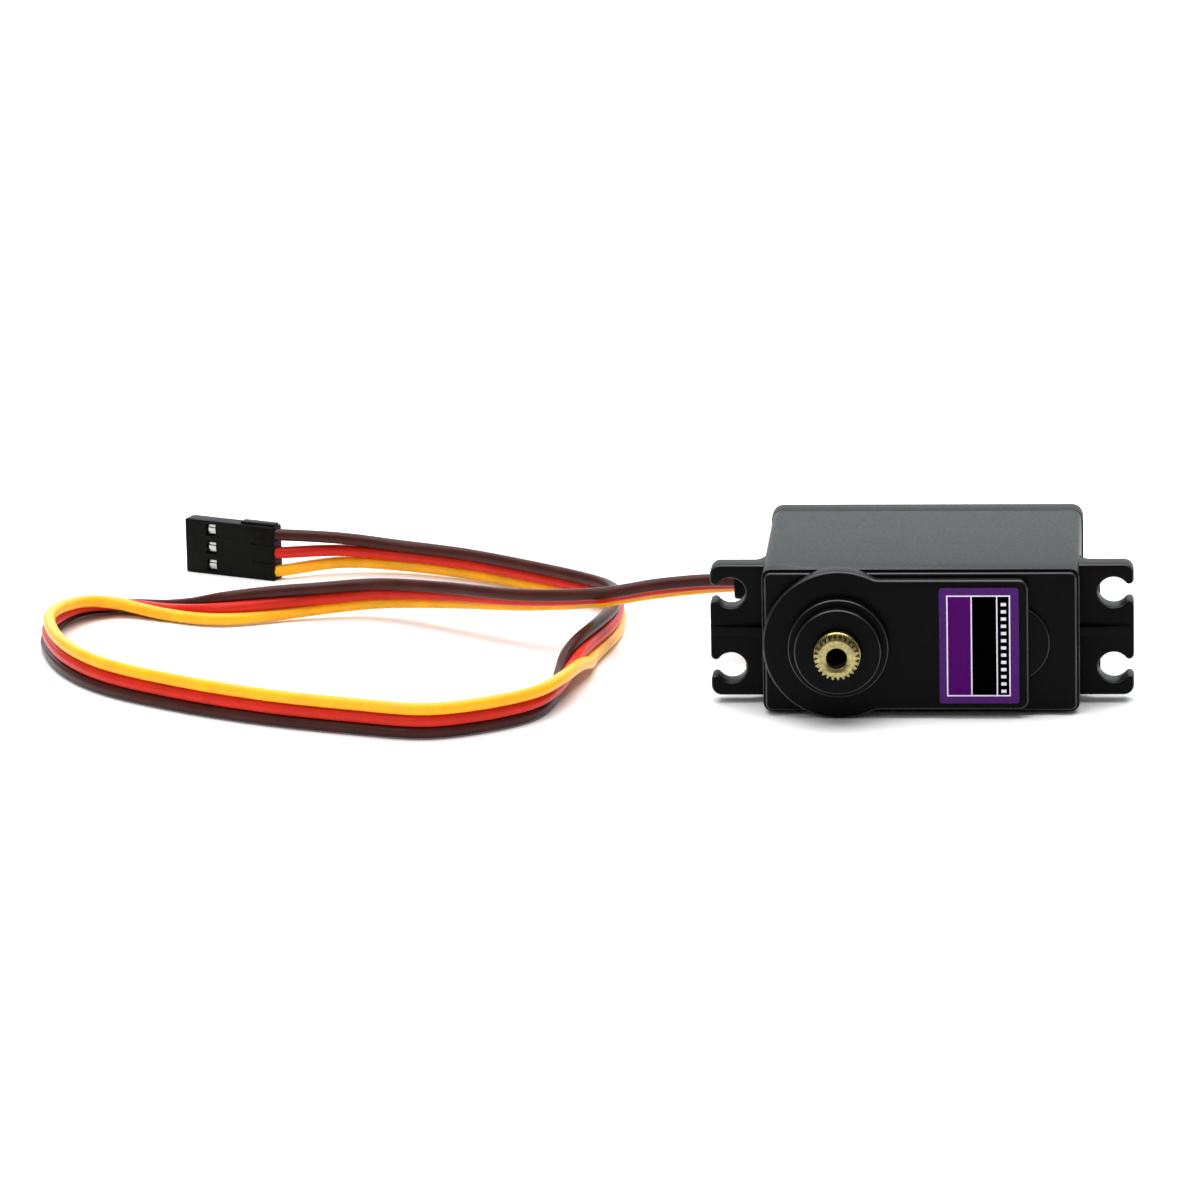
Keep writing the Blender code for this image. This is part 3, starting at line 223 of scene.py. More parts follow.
MATERIALS = {
    "black_plastic": procedural("black_plastic", (0.0014, 0.0015, 0.0014), 0.38, specular=0.052,
                                vary=0.3, grain=2200, bump=0.3, bump_grain=5200),
    # plastic_rim_painted_highlight: lighter base colour and high specular on the rounded rims, a
    # painted highlight line
    "plastic_rim_painted_highlight": procedural("plastic_rim_painted_highlight", (0.0036, 0.0036, 0.0035), 0.34, specular=0.5,
                              vary=0.3, grain=900, bump=0.2, bump_grain=3200),
    "connector_plastic": procedural("connector_plastic", (0.0045, 0.0045, 0.0040), 0.42,
                                    specular=0.05, vary=0.25, grain=900, bump=0.15,
                                    bump_grain=3000),
    "black_rubber": procedural("black_rubber", (0.0022, 0.0020, 0.0018), 0.55, specular=0.04,
                               grain=1200, bump=0.2),
    "label_purple": procedural("label_purple", (0.062, 0.012, 0.120), 0.4, specular=0.05,
                               vary=0.14, grain=2600, bump=0.05),
    "label_deep": procedural("label_deep", (0.062, 0.0012, 0.10), 0.4, specular=0.03, vary=0.05,
                             grain=1500, bump=0.03),
    "label_black": procedural("label_black", (0.0003, 0.0002, 0.0003), 0.4, specular=0.002,
                              vary=0.1, bump=0.03),
    "label_white": procedural("label_white", (0.72, 0.66, 0.78), 0.4, specular=0.1, vary=0.05,
                              bump=0.03),
    "brass": procedural("brass", (0.30, 0.25, 0.11), 0.24, 1.0, vary=0.35, grain=2600, bump=0.2,
                        bump_grain=4200, rough_vary=0.08, stretch=(1, 1, 0.3)),
    # brass_painted_shade: brass darkened to near black, painted shade in the threaded bore and the
    # spline roots
    "brass_painted_shade": procedural("brass_painted_shade", (0.035, 0.024, 0.012), 0.45, 0.6, vary=0.3,
                              grain=1500, bump=0.1),
    "steel": procedural("steel", (0.56, 0.56, 0.57), 0.28, 1.0, vary=0.06, bump=0.08),
    "bearing_steel": procedural("bearing_steel", (0.63, 0.63, 0.65), 0.18, 1.0, vary=0.04,
                                bump=0.04),
    "motor_steel": procedural("motor_steel", (0.50, 0.50, 0.49), 0.33, 1.0, vary=0.08, grain=400,
                              bump=0.08, stretch=(1, 1, 0.1)),
    "magnet": procedural("magnet", (0.05, 0.05, 0.055), 0.6, 0.3, vary=0.3, bump=0.3),
    "copper": procedural("copper", (0.66, 0.29, 0.15), 0.3, 1.0, vary=0.15, grain=500, bump=0.3,
                         stretch=(1, 1, 6)),
    "white_plastic": procedural("white_plastic", (0.74, 0.73, 0.69), 0.45, vary=0.05, bump=0.1),
    "board_green": procedural("board_green", (0.015, 0.15, 0.06), 0.35, vary=0.25, grain=350,
                              bump=0.1),
    "chip_black": procedural("chip_black", (0.02, 0.02, 0.02), 0.45, vary=0.2, bump=0.2),
    "capacitor": procedural("capacitor", (0.42, 0.30, 0.10), 0.35, vary=0.1, bump=0.05),
    "terminal_tin": procedural("terminal_tin", (0.42, 0.41, 0.37), 0.22, 1.0, vary=0.06, bump=0.1),
    "wire_brown": procedural("wire_brown", (0.050, 0.011, 0.008), 0.34, specular=0.15, vary=0.16,
                             grain=260, bump=0.1, bump_grain=1400),
    "wire_red": procedural("wire_red", (0.56, 0.020, 0.010), 0.34, specular=0.14, vary=0.10,
                           grain=260, bump=0.1, bump_grain=1400),
    "wire_orange": procedural("wire_orange", (0.88, 0.42, 0.010), 0.32, specular=0.22, vary=0.10,
                              grain=260, bump=0.1, bump_grain=1400),
}


# ---------------------------------------------------------------- shape helpers
def link_piece(name, mesh, material, body="root", replaces=(), matrix=LAY_DOWN):
    """Put a finished mesh in the scene, riding on a body."""
    obj = bpy.data.objects.new(name, mesh)
    obj.matrix_world = matrix
    if not mesh.materials:
        mesh.materials.append(MATERIALS[material])
    bpy.context.scene.collection.objects.link(obj)
    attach(obj, body)
    if replaces:
        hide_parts(*replaces)
    return obj


def arc(center, radius, start, stop, steps):
    """Points on an arc, angles in degrees, both ends included."""
    angles = [math.radians(start + (stop - start) * k / steps) for k in range(steps + 1)]
    return [(center[0] + radius * math.cos(a), center[1] + radius * math.sin(a)) for a in angles]


def circle(center, radius, steps=48):
    return arc(center, radius, 0, 360, steps)[:-1]


def rounded_box(x_low, x_high, y_low, y_high, radius, steps=8):
    corners = [(x_high, y_high, 0), (x_low, y_high, 90), (x_low, y_low, 180), (x_high, y_low, 270)]
    points = []
    for x, y, start in corners:
        middle = (x - math.copysign(radius, x - (x_low + x_high) / 2),
                  y - math.copysign(radius, y - (y_low + y_high) / 2))
        points += arc(middle, radius, start, start + 90, steps)
    return points


def evaluated_mesh(obj):
    """The object's mesh with its modifiers applied; the object itself is removed."""
    mesh = bpy.data.meshes.new_from_object(
        obj.evaluated_get(bpy.context.evaluated_depsgraph_get()))
    bpy.data.objects.remove(obj)
    return mesh


def clean(mesh, distance=1e-7):
    shape = bmesh.new()
    shape.from_mesh(mesh)
    bmesh.ops.remove_doubles(shape, verts=shape.verts, dist=distance)
    bmesh.ops.recalc_face_normals(shape, faces=shape.faces)
    shape.to_mesh(mesh)
    shape.free()
    return mesh


def prism(outlines, low, high, edge=0.0, matrix=None):
    """Filled outlines from low to high, with both rims rounded by edge."""
    curve = bpy.data.curves.new("outline", "CURVE")
    curve.dimensions, curve.fill_mode = "2D", "BOTH"
    curve.extrude = (high - low) / 2 - edge
    curve.bevel_depth, curve.bevel_resolution, curve.offset = edge, 3, -edge
    for outline in outlines:
        spline = curve.splines.new("POLY")
        spline.points.add(len(outline) - 1)
        for point, (x, y) in zip(spline.points, outline):
            point.co = (x, y, 0, 1)
        spline.use_cyclic_u = True
    holder = bpy.data.objects.new("outline", curve)
    bpy.context.scene.collection.objects.link(holder)
    mesh = evaluated_mesh(holder)
    mesh.transform(Matrix.Translation((0, 0, (low + high) / 2)))
    if matrix:
        mesh.transform(matrix)
    return clean(mesh)


def turned(profile, center=(0, 0), steps=64):
    """A closed profile of (radius, height) pairs turned about the upright axis at center."""
    mesh = bpy.data.meshes.new("turned")
    shape = bmesh.new()
    rows = []
    for k in range(steps):
        angle = math.tau * k / steps
        rows.append([shape.verts.new((radius * math.cos(angle), radius * math.sin(angle), height))
                     for radius, height in profile])
    count = len(profile)
    for row, after in zip(rows, rows[1:] + rows[:1]):
        for k in range(count):
            shape.faces.new((row[k], after[k], after[(k + 1) % count], row[(k + 1) % count]))
    bmesh.ops.remove_doubles(shape, verts=shape.verts, dist=1e-8)
    flat = [f for f in shape.faces if f.calc_area() < 1e-16]
    bmesh.ops.delete(shape, geom=flat, context="FACES")
    bmesh.ops.recalc_face_normals(shape, faces=shape.faces)
    bmesh.ops.translate(shape, vec=(*center, 0), verts=shape.verts)
    shape.to_mesh(mesh)
    shape.free()
    return mesh


def box_mesh(low, high, edge=0.0):
    mesh = bpy.data.meshes.new("box")
    shape = bmesh.new()
    bmesh.ops.create_cube(shape, size=1.0)
    bmesh.ops.scale(shape, vec=[b - a for a, b in zip(low, high)], verts=shape.verts)
    bmesh.ops.translate(shape, vec=[(a + b) / 2 for a, b in zip(low, high)], verts=shape.verts)
    if edge:
        bmesh.ops.bevel(shape, geom=shape.edges[:], offset=edge, segments=3, profile=0.5,
                        affect="EDGES")
    shape.to_mesh(mesh)
    shape.free()
    return mesh


def carve(base, steps):
    """Apply (operation, mesh) pairs to a mesh, one Boolean after another."""
    body = bpy.data.objects.new("carved", base)
    bpy.context.scene.collection.objects.link(body)
    tools = []
    for operation, mesh in steps:
        tool = bpy.data.objects.new("tool", mesh)
        bpy.context.scene.collection.objects.link(tool)
        boolean = body.modifiers.new("cut", "BOOLEAN")
        boolean.operation, boolean.object, boolean.solver = operation, tool, "EXACT"
        tools.append(tool)
    mesh = evaluated_mesh(body)
    for tool in tools:
        bpy.data.objects.remove(tool)
    return mesh


def finish_mesh(mesh, angle=32.0):
    """Weld, and shade smooth with sharp edges where faces meet at more than angle degrees."""
    clean(mesh, 1e-7)
    mesh.shade_smooth()
    mesh.set_sharp_from_angle(angle=math.radians(angle))
    return mesh


CUT, ADD = "DIFFERENCE", "UNION"


# ---------------------------------------------------------------- ribbon lead
def smooth_route(rows, per_span=14):
    """Catmull-Rom curve through the route's rows."""
    rows = [[2 * a - b for a, b in zip(rows[0], rows[1])], *rows,
            [2 * a - b for a, b in zip(rows[-1], rows[-2])]]
    out = []
    for before, start, stop, after in zip(rows, rows[1:], rows[2:], rows[3:]):
        for k in range(per_span):
            t = k / per_span
            out.append([0.5 * (2 * b + (c - a) * t + (2 * a - 5 * b + 4 * c - d) * t * t
                               + (3 * b - a - 3 * c + d) * t ** 3)
                        for a, b, c, d in zip(before, start, stop, after)])
    return out + [list(rows[-2])]


def wire_path(offset):
    """World points of one wire; offset is -1 for brown, 0 for red and 1 for orange."""
    rows = smooth_route(LEAD_ROUTE)
    middle = [Vector(row[:3]) * MM for row in rows]
    path = []
    for k, row in enumerate(rows):
        ahead = middle[min(k + 1, len(rows) - 1)] - middle[max(k - 1, 0)]
        right = ahead.cross(Vector((0, 0, 1))).normalized()
        above = right.cross(ahead).normalized()
        roll = math.radians(row[3])
        across = right * math.cos(roll) + above * math.sin(roll)
        path.append(middle[k] + across * offset * row[4] * MM)
    return path


def make_lead(connector_pieces):
    for offset, name in zip((-1, 0, 1), ("wire_brown", "wire_red", "wire_orange")):
        path = wire_path(offset)
        curve = bpy.data.curves.new(name + "_insulation", "CURVE")
        curve.dimensions = "3D"
        curve.bevel_depth, curve.bevel_resolution = WIRE_DIAMETER / 2 + 0.03 * MM, 5
        curve.use_fill_caps = True
        spline = curve.splines.new("POLY")
        spline.points.add(len(path) - 1)
        for point, place in zip(spline.points, path):
            point.co = (*place, 1)
        spline.use_smooth = True
        curve.materials.append(MATERIALS[name])
        wire = bpy.data.objects.new(name + "_insulation", curve)
        bpy.context.scene.collection.objects.link(wire)
        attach(wire, "root")
        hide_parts(name)


# ---------------------------------------------------------------- connector
def make_connector():
    """Three-way housing: ridge, latch windows, grooves between the ways and open sockets."""
    length, thick, tall = CONNECTOR_SIZE
    place = Matrix.Translation(CONNECTOR_END) @ Matrix.Rotation(CONNECTOR_YAW, 4, "Z")
    base = box_mesh((-length, -thick / 2, -tall / 2), (0, thick / 2, tall / 2), 0.22 * MM)
    ridge = box_mesh((-5.4 * MM, -0.75 * MM, tall / 2 - 0.5 * MM),
                     (-0.1 * MM, 0.75 * MM, tall / 2 + 0.35 * MM), 0.15 * MM)
    steps = [(ADD, ridge)]
    way, mouth, recess, groove = 0.85 * MM, 1.0 * MM, 0.95 * MM, 0.14 * MM    # half widths
    for offset in (-1, 0, 1):
        z = offset * CONNECTOR_PITCH
        through = box_mesh((-length - MM, -way, z - way), (MM, way, z + way))
        socket = box_mesh((-length - MM, -mouth, z - mouth),
                          (-length + 0.35 * MM, mouth, z + mouth))
        window = box_mesh((-10.7 * MM, -2 * MM, z - way), (-9.1 * MM, 0, z + way))
        shallow = box_mesh((-8.9 * MM, -thick / 2 - MM, z - recess),
                           (-5.9 * MM, -thick / 2 + 0.05 * MM, z + recess))
        steps += [(CUT, through), (CUT, socket), (CUT, window), (CUT, shallow)]
    for offset in (-0.5, 0.5):
        z = offset * CONNECTOR_PITCH
        for side in (-1, 1):
            low, high = sorted((side * thick / 2 - side * 0.12 * MM, side * thick))
            steps.append((CUT, box_mesh((-3.4 * MM, low, z - groove), (MM, high, z + groove))))
    mesh = finish_mesh(carve(base, steps))
    housing = link_piece("connector_shell", mesh, "connector_plastic",
                         replaces=["connector_housing"], matrix=place)
    crimps = []
    for number, offset in enumerate((-1, 0, 1), start=1):
        z, wide = offset * CONNECTOR_PITCH, 0.72 * MM
        base = box_mesh((-length + 0.6 * MM, -wide, z - wide),
                        (-6.4 * MM, wide, z + wide), 0.08 * MM)
        steps = [(CUT, box_mesh((-length, -0.45 * MM, z - 0.45 * MM),
                                (-7.5 * MM, 0.45 * MM, z + 0.45 * MM))),
                 (ADD, box_mesh((-10.5 * MM, -wide - 0.22 * MM, z - 0.3 * MM),
                                (-9.3 * MM, -wide + 0.1 * MM, z + 0.3 * MM), 0.06 * MM)),
                 (ADD, box_mesh((-6.6 * MM, -0.5 * MM, z - 0.6 * MM),
                                (-1.9 * MM, -0.28 * MM, z + 0.6 * MM), 0.04 * MM))]
        crimp = link_piece(f"crimp_{number}", finish_mesh(carve(base, steps)), "terminal_tin",
                           replaces=[f"connector_terminal_{number}"], matrix=place)
        crimps.append(crimp)
    return [housing, *crimps]


# ---------------------------------------------------------------- case
def cavity_outline(half_length, half_width):
    at_end = math.degrees(math.acos((half_length - SCREW_X) / POST_RADIUS))
    at_side = math.degrees(math.asin((half_width - SCREW_Y) / POST_RADIUS))
    corner = arc((SCREW_X, SCREW_Y), POST_RADIUS, -at_end, -180 - at_side, 10)
    return (corner + [(-x, y) for x, y in reversed(corner)]
            + [(-x, -y) for x, y in corner] + [(x, -y) for x, y in reversed(corner)])


def lofted(profile, length, width, corner, steps=8):
    """A rounded rectangle drawn in by each (height, inset) pair and closed at both ends."""
    mesh = bpy.data.meshes.new("lofted")
    shape = bmesh.new()
    loops = []
    for height, inset in profile:
        x, y = length / 2 - inset, width / 2 - inset
        outline = rounded_box(-x, x, -y, y, max(corner - inset, 0.1 * MM), steps)
        loops.append([shape.verts.new((*point, height)) for point in outline])
    for lower, upper in zip(loops, loops[1:]):
        for k in range(len(lower)):
            after = (k + 1) % len(lower)
            shape.faces.new((lower[k], lower[after], upper[after], upper[k]))
    shape.faces.new(reversed(loops[0]))
    shape.faces.new(loops[-1])
    bmesh.ops.recalc_face_normals(shape, faces=shape.faces)
    shape.to_mesh(mesh)
    shape.free()
    return mesh


def rounded_rim(height, edge, inset=0.0, way=1, steps=5):
    """Profile of a rounded rim that ends at a height; way is 1 for an upper rim, -1 for a lower."""
    angles = [math.pi / 2 * k / steps for k in range(steps + 1)]
    rim = [(height - way * edge * (1 - math.sin(a)), inset + edge * (1 - math.cos(a)))
           for a in angles]
    return rim if way == 1 else rim[::-1]


def paint_rim_highlights(mesh):
    """Give the rounded rims of a shell a lighter, shinier copy of the black plastic, as a painted
    highlight along the rims.
    """
    mesh.materials.append(MATERIALS["black_plastic"])
    mesh.materials.append(MATERIALS["plastic_rim_painted_highlight"])
    for face in mesh.polygons:
        on_rib = abs(face.center.x) > CASE_LENGTH / 2 and abs(face.center.y) < RIB_WIDTH
        # rims picked by their slope get the painted highlight material
        is_rim = 0.2 < abs(face.normal.z) < 0.98 and face.area < 3 * MM * MM
        face.material_index = 1 if is_rim and not on_rib else 0


def screw_spots():
    return [(sx * SCREW_X, sy * SCREW_Y) for sx in (-1, 1) for sy in (-1, 1)]


def lead_notch(low, high):
    inner_end, half = -CASE_LENGTH / 2 + 3 * MM, 1.9 * MM
    outline = rounded_box(-CASE_LENGTH, inner_end, -half, half, 0.3 * MM, 2)
    return prism([outline], low, high)


def make_case_bottom():
    inner = cavity_outline(CASE_LENGTH / 2 - WALL, CASE_WIDTH / 2 - WALL)
    profile = rounded_rim(0, 1.0 * MM, way=-1) + rounded_rim(COVER_SEAM, 0.14 * MM)
    base = lofted(profile, CASE_LENGTH + 2 * COVER_FLARE, CASE_WIDTH, COVER_CORNER)
    steps = [(CUT, prism([inner], COVER_FLOOR, COVER_SEAM + MM))]
    for spot in screw_spots():
        steps.append((CUT, turned([(0, -MM), (2.35 * MM, -MM), (2.35 * MM, -0.2 * MM),
                                   (1.95 * MM, 0.2 * MM), (1.95 * MM, 1.6 * MM),
                                   (SCREW_HOLE, 1.6 * MM), (SCREW_HOLE, 6 * MM), (0, 6 * MM)],
                                  spot, 32)))
    steps.append((CUT, lead_notch(2.2 * MM, COVER_SEAM + MM)))
    mesh = finish_mesh(carve(base, steps))
    paint_rim_highlights(mesh)
    link_piece("cover_shell", mesh, "black_plastic", replaces=["case_bottom"])


def ear_outline(side):
    """One pair of ears with two slots open to the end, each with round lips; side is -1 or 1."""
    root, end, half = CASE_LENGTH / 2 - MM, EAR_SPAN / 2, EAR_WIDTH / 2
    lip_x = end - EAR_LIP
    lip_y = math.sqrt((HOLE_RADIUS + EAR_LIP) ** 2 - (lip_x - HOLE_X) ** 2)
    mouth = math.degrees(math.atan2(lip_y, lip_x - HOLE_X))
    points = [(root, -half)]
    points += arc((end - EAR_CORNER, -half + EAR_CORNER), EAR_CORNER, -90, 0, 8)
    for y in (-HOLE_Y, HOLE_Y):
        points += arc((lip_x, y - lip_y), EAR_LIP, 0, 180 - mouth, 8)
        points += arc((HOLE_X, y), HOLE_RADIUS, -mouth, mouth - 360, 44)[1:-1]
        points += arc((lip_x, y + lip_y), EAR_LIP, mouth - 180, 0, 8)
    points += arc((end - EAR_CORNER, half - EAR_CORNER), EAR_CORNER, 0, 90, 8)
    points += [(root, half)]
    return [(side * x, y) for x, y in points[::side]]


def rib_outline(side):
    """The low gusset between an ear's two holes, seen from the side."""
    root, end = CASE_LENGTH / 2 - 0.5 * MM, EAR_SPAN / 2 - 0.25 * MM
    low, tip = EAR_HIGH - 0.5 * MM, EAR_HIGH + 0.35 * MM
    points = [(root, low), (end, low), (end, tip), (root, TOP_SEAM)]
    return [(side * x, z) for x, z in points[::side]]


def root_fillet(side):
    """Concave curve between the case wall and the ears, on the side facing the cover."""
    wall, buried = CASE_LENGTH / 2, 0.3 * MM
    bend = arc((wall + EAR_FILLET, EAR_LOW - EAR_FILLET), EAR_FILLET, 90, 180, 10)
    points = [(wall - buried, EAR_LOW - EAR_FILLET), (wall - buried, EAR_LOW + buried),
              (wall + EAR_FILLET, EAR_LOW + buried), *bend]
    outline = [(side * x, z) for x, z in points[::side]]
    upright = Matrix.Rotation(math.pi / 2, 4, "X")
    return prism([outline], -EAR_WIDTH / 2 + 0.2 * MM, EAR_WIDTH / 2 - 0.2 * MM, 0, upright)


def make_case_middle():
    steps = []
    for side in (-1, 1):
        steps.append((ADD, prism([ear_outline(side)], EAR_LOW, EAR_HIGH, 0.28 * MM)))
        rib = prism([rib_outline(side)], -RIB_WIDTH / 2, RIB_WIDTH / 2, 0.12 * MM,
                    Matrix.Rotation(math.pi / 2, 4, "X"))
        steps.append((ADD, rib))
        steps.append((ADD, root_fillet(side)))
    inner = cavity_outline(CASE_LENGTH / 2 - WALL, CASE_WIDTH / 2 - WALL)
    steps.append((CUT, prism([inner], MIDDLE_LOW - MM, GEAR_PLATE[0])))
    steps.append((CUT, prism([inner], GEAR_PLATE[1], TOP_SEAM + MM)))
    steps.append((CUT, lead_notch(MIDDLE_LOW - MM, 8.4 * MM)))
    motor_x, screw_offset = box_middle("motor_shaft")[0], 5.0 * MM
    openings = [((OUTPUT_X, 0), 4.6 * MM), ((CENTER_X, 0), 0.9 * MM), ((motor_x, 0), 2.75 * MM),
                ((motor_x - screw_offset, 0), 1.4 * MM), ((motor_x + screw_offset, 0), 1.4 * MM)]
    for center, radius in openings:       # all through the gear plate
        steps.append((CUT, prism([circle(center, radius, 32)], 26 * MM, 30 * MM)))
    for spot in screw_spots():
        steps.append((CUT, prism([circle(spot, SCREW_HOLE, 24)], 0, 40 * MM)))
    profile = [*rounded_rim(MIDDLE_LOW, 0.14 * MM, way=-1), (TOP_SEAM, 0)]
    base = lofted(profile, CASE_LENGTH, CASE_WIDTH, CASE_CORNER)
    mesh = finish_mesh(carve(base, steps))
    paint_rim_highlights(mesh)
    link_piece("middle_shell", mesh, "black_plastic", replaces=["case_middle"])


def plateau_outline():
    """Boss circle blended into the long plateau by a small concave curve on each side."""
    blend, half = 2.6 * MM, PLATEAU_HALF_WIDTH
    across = math.acos((half + blend) / (BOSS_RADIUS + blend))
    blend_x = OUTPUT_X + (BOSS_RADIUS + blend) * math.sin(across)
    angle = 90 - math.degrees(across)
    corner = 1.3 * MM
    points = arc((OUTPUT_X, 0), BOSS_RADIUS, angle, 360 - angle, 96)
    points += arc((blend_x, -half - blend), blend, 180 - angle, 90, 8)[1:]
    points += arc((PLATEAU_END - corner, -half + corner), corner, -90, 0, 8)
    points += arc((PLATEAU_END - corner, half - corner), corner, 0, 90, 8)
    points += arc((blend_x, half + blend), blend, -90, angle - 180, 8)[:-1]
    return points


def rounded_step(radius, height, edge, steps=4):
    """Profile points of a rounded outer rim, from the face outwards and down."""
    return [(radius - edge + edge * math.sin(a), height - edge + edge * math.cos(a))
            for a in [math.pi / 2 * k / steps for k in range(steps + 1)]]


def make_case_top():
    profile = [(TOP_LOW, 0), *rounded_rim(RIM_STEP, 0.12 * MM), (RIM_STEP, RIM_INSET),
               *rounded_rim(SHOULDER, 0.3 * MM, RIM_INSET)]
    base = lofted(profile, CASE_LENGTH, CASE_WIDTH, CASE_CORNER)
    lobe = [(0, LOBE_TOP), *rounded_step(LOBE_RADIUS, LOBE_TOP, 0.25 * MM),
            (LOBE_RADIUS, SHOULDER - MM), (0, SHOULDER - MM)]
    boss = [(0, STEP_2), *rounded_step(STEP_2_RADIUS, STEP_2, 0.3 * MM),
            (STEP_2_RADIUS, STEP_1), *rounded_step(STEP_1_RADIUS, STEP_1, 0.3 * MM),
            (STEP_1_RADIUS, SHOULDER), (0, SHOULDER)]
    lip, throat, seat, land = 3.25 * MM, 3.1 * MM, 5.0 * MM, 4.3 * MM    # radii of the boss hole
    seat_high, seat_low, hole_low = 39.0 * MM, 36.0 * MM, 34.0 * MM
    boss_hole = [(0, STEP_2 + MM), (lip, STEP_2 + MM), (lip, STEP_2 + 0.1 * MM),
                 (throat, STEP_2 - 0.1 * MM), (throat, seat_high), (seat, seat_high),
                 (seat, seat_low), (land, seat_low), (land, hole_low), (0, hole_low)]
    hollow = cavity_outline(CASE_LENGTH / 2 - WALL, CASE_WIDTH / 2 - 1.2 * MM)
    gear_floor = SIDE_CEILING - 0.1 * MM
    gate_mark = turned([(0.75 * MM, PLATEAU + MM), (0.95 * MM, PLATEAU + MM),
                        (0.95 * MM, PLATEAU - 0.06 * MM), (0.75 * MM, PLATEAU - 0.06 * MM)],
                       (CENTER_X, 0.6 * MM), 32)
    steps = [(ADD, prism([plateau_outline()], RIM_STEP - 0.4 * MM, PLATEAU, 0.42 * MM)),
             (ADD, turned(lobe, (LOBE_X, 0))), (ADD, turned(boss, (OUTPUT_X, 0), 96)),
             (CUT, prism([hollow], TOP_LOW - MM, SIDE_CEILING)),
             (CUT, prism([circle((OUTPUT_X, 0), 8.3 * MM)], gear_floor, GEAR_CEILING)),
             (CUT, prism([circle((CENTER_X, 0), 4.2 * MM)], gear_floor, GEAR_CEILING)),
             (CUT, turned(boss_hole, (OUTPUT_X, 0), 96)), (CUT, gate_mark)]
    for spot in screw_spots():
        steps.append((CUT, prism([circle(spot, SCREW_HOLE, 16)], TOP_LOW - MM, 33.2 * MM)))
    mesh = finish_mesh(carve(base, steps))
    paint_rim_highlights(mesh)
    link_piece("top_shell", mesh, "black_plastic", replaces=["case_top"])


# ---------------------------------------------------------------- sticker
def make_label():
    """Purple film with a white frame, two dividers, and a column of plain white ticks."""
    low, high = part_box("label")
    x0, x1 = low[0], high[0]
    y0, y1 = low[2] - AXIS_HEIGHT, high[2] - AXIS_HEIGHT
    top = BACK_Y - low[1]
    border, line = 0.95 * MM, 0.17 * MM
    left, right, bottom, upper = x0 + border, x1 - border * 1.15, y0 + border, y1 - border
    first, second = left + 0.38 * (right - left), left + 0.78 * (right - left)
    ticks, tick_gap = 13, 0.45
    step = (upper - bottom - 2 * line - 0.6 * MM) / ticks
    tick_x = (second + line + 0.42 * MM, right - line - 0.36 * MM)
    xs = sorted({x0 + 0.4 * MM, x1 - 0.4 * MM, left, left + line, first, first + line, second,
                 second + line, *tick_x, right - line, right})
    tick_rows = []
    for k in range(ticks):
        start = bottom + line + 0.3 * MM + k * step
        tick_rows.append((start, start + step * tick_gap))
    ys = sorted({y0 + 0.4 * MM, y1 - 0.4 * MM, bottom, bottom + line, upper - line, upper,
                 *[y for row in tick_rows for y in row]})

    def region(x, y):
        """Material of the cell around a point: 0 purple, 1 deep purple, 2 black, 3 white."""
        if not (left < x < right and bottom < y < upper):
            return 0
        on_frame = x < left + line or x > right - line or y < bottom + line or y > upper - line
        if on_frame or first < x < first + line or second < x < second + line:
            return 3
        if x < first:
            return 1
        in_tick = tick_x[0] < x < tick_x[1] and any(a < y < b for a, b in tick_rows)
        return 3 if in_tick else 2

    outline = rounded_box(x0, x1, y0, y1, 0.4 * MM, 6)
    film = prism([outline], top - 0.2 * MM, top - 0.012 * MM)
    shape = bmesh.new()
    shape.from_mesh(film)
    verts = {(x, y): shape.verts.new((x, y, top)) for x in xs for y in ys}
    for xa, xb in zip(xs, xs[1:]):
        for ya, yb in zip(ys, ys[1:]):
            face = shape.faces.new((verts[xa, ya], verts[xb, ya], verts[xb, yb], verts[xa, yb]))
            face.material_index = region((xa + xb) / 2, (ya + yb) / 2)
    shape.to_mesh(film)
    shape.free()
    for name in ("label_purple", "label_deep", "label_black", "label_white"):
        film.materials.append(MATERIALS[name])
    link_piece("sticker", film, "label_purple", replaces=["label"])


# ---------------------------------------------------------------- output gear
def gear_outline(teeth, module, tooth_at_zero, backlash, addendum=1.0, flank=5):
    """Involute spur gear outline with a 20 degree pressure angle."""
    pressure = math.radians(20)
    pitch = teeth * module / 2
    base, tip, root = pitch * math.cos(pressure), pitch + addendum * module, pitch - 1.25 * module
    start = max(base, root)
    half_angle = (math.pi * module / 2 - backlash) / 2 / pitch

    def involute(radius):
        spread = math.acos(base / radius)
        return math.tan(spread) - spread

    centre = half_angle + involute(pitch)
    radii = [start + (tip - start) * k / (flank - 1) for k in range(flank)]
    side = [(radius, centre - involute(max(radius, base))) for radius in radii]
    if root < start:
        side.insert(0, (root, side[0][1]))
    points = []
    for tooth in range(teeth):
        middle = math.tau * (tooth + (0 if tooth_at_zero else 0.5)) / teeth
        profile = [(r, middle - a) for r, a in side] + [(r, middle + a) for r, a in reversed(side)]
        points += [(r * math.cos(a), r * math.sin(a)) for r, a in profile]
    return points


def spline_outline(teeth, tip, root, steps=3):
    """Triangular spline teeth with small flats on the tips and rounded roots."""
    points = []
    for tooth in range(teeth):
        middle, pitch = math.tau * tooth / teeth, math.tau / teeth
        profile = [(root, -0.5), (root + 0.03 * MM, -0.38), (tip - 0.05 * MM, -0.16), (tip, -0.09),
                   (tip, 0.09), (tip - 0.05 * MM, 0.16), (root + 0.03 * MM, 0.38)]
        points += [(r * math.cos(middle + s * pitch), r * math.sin(middle + s * pitch))
                   for r, s in profile]
    return points


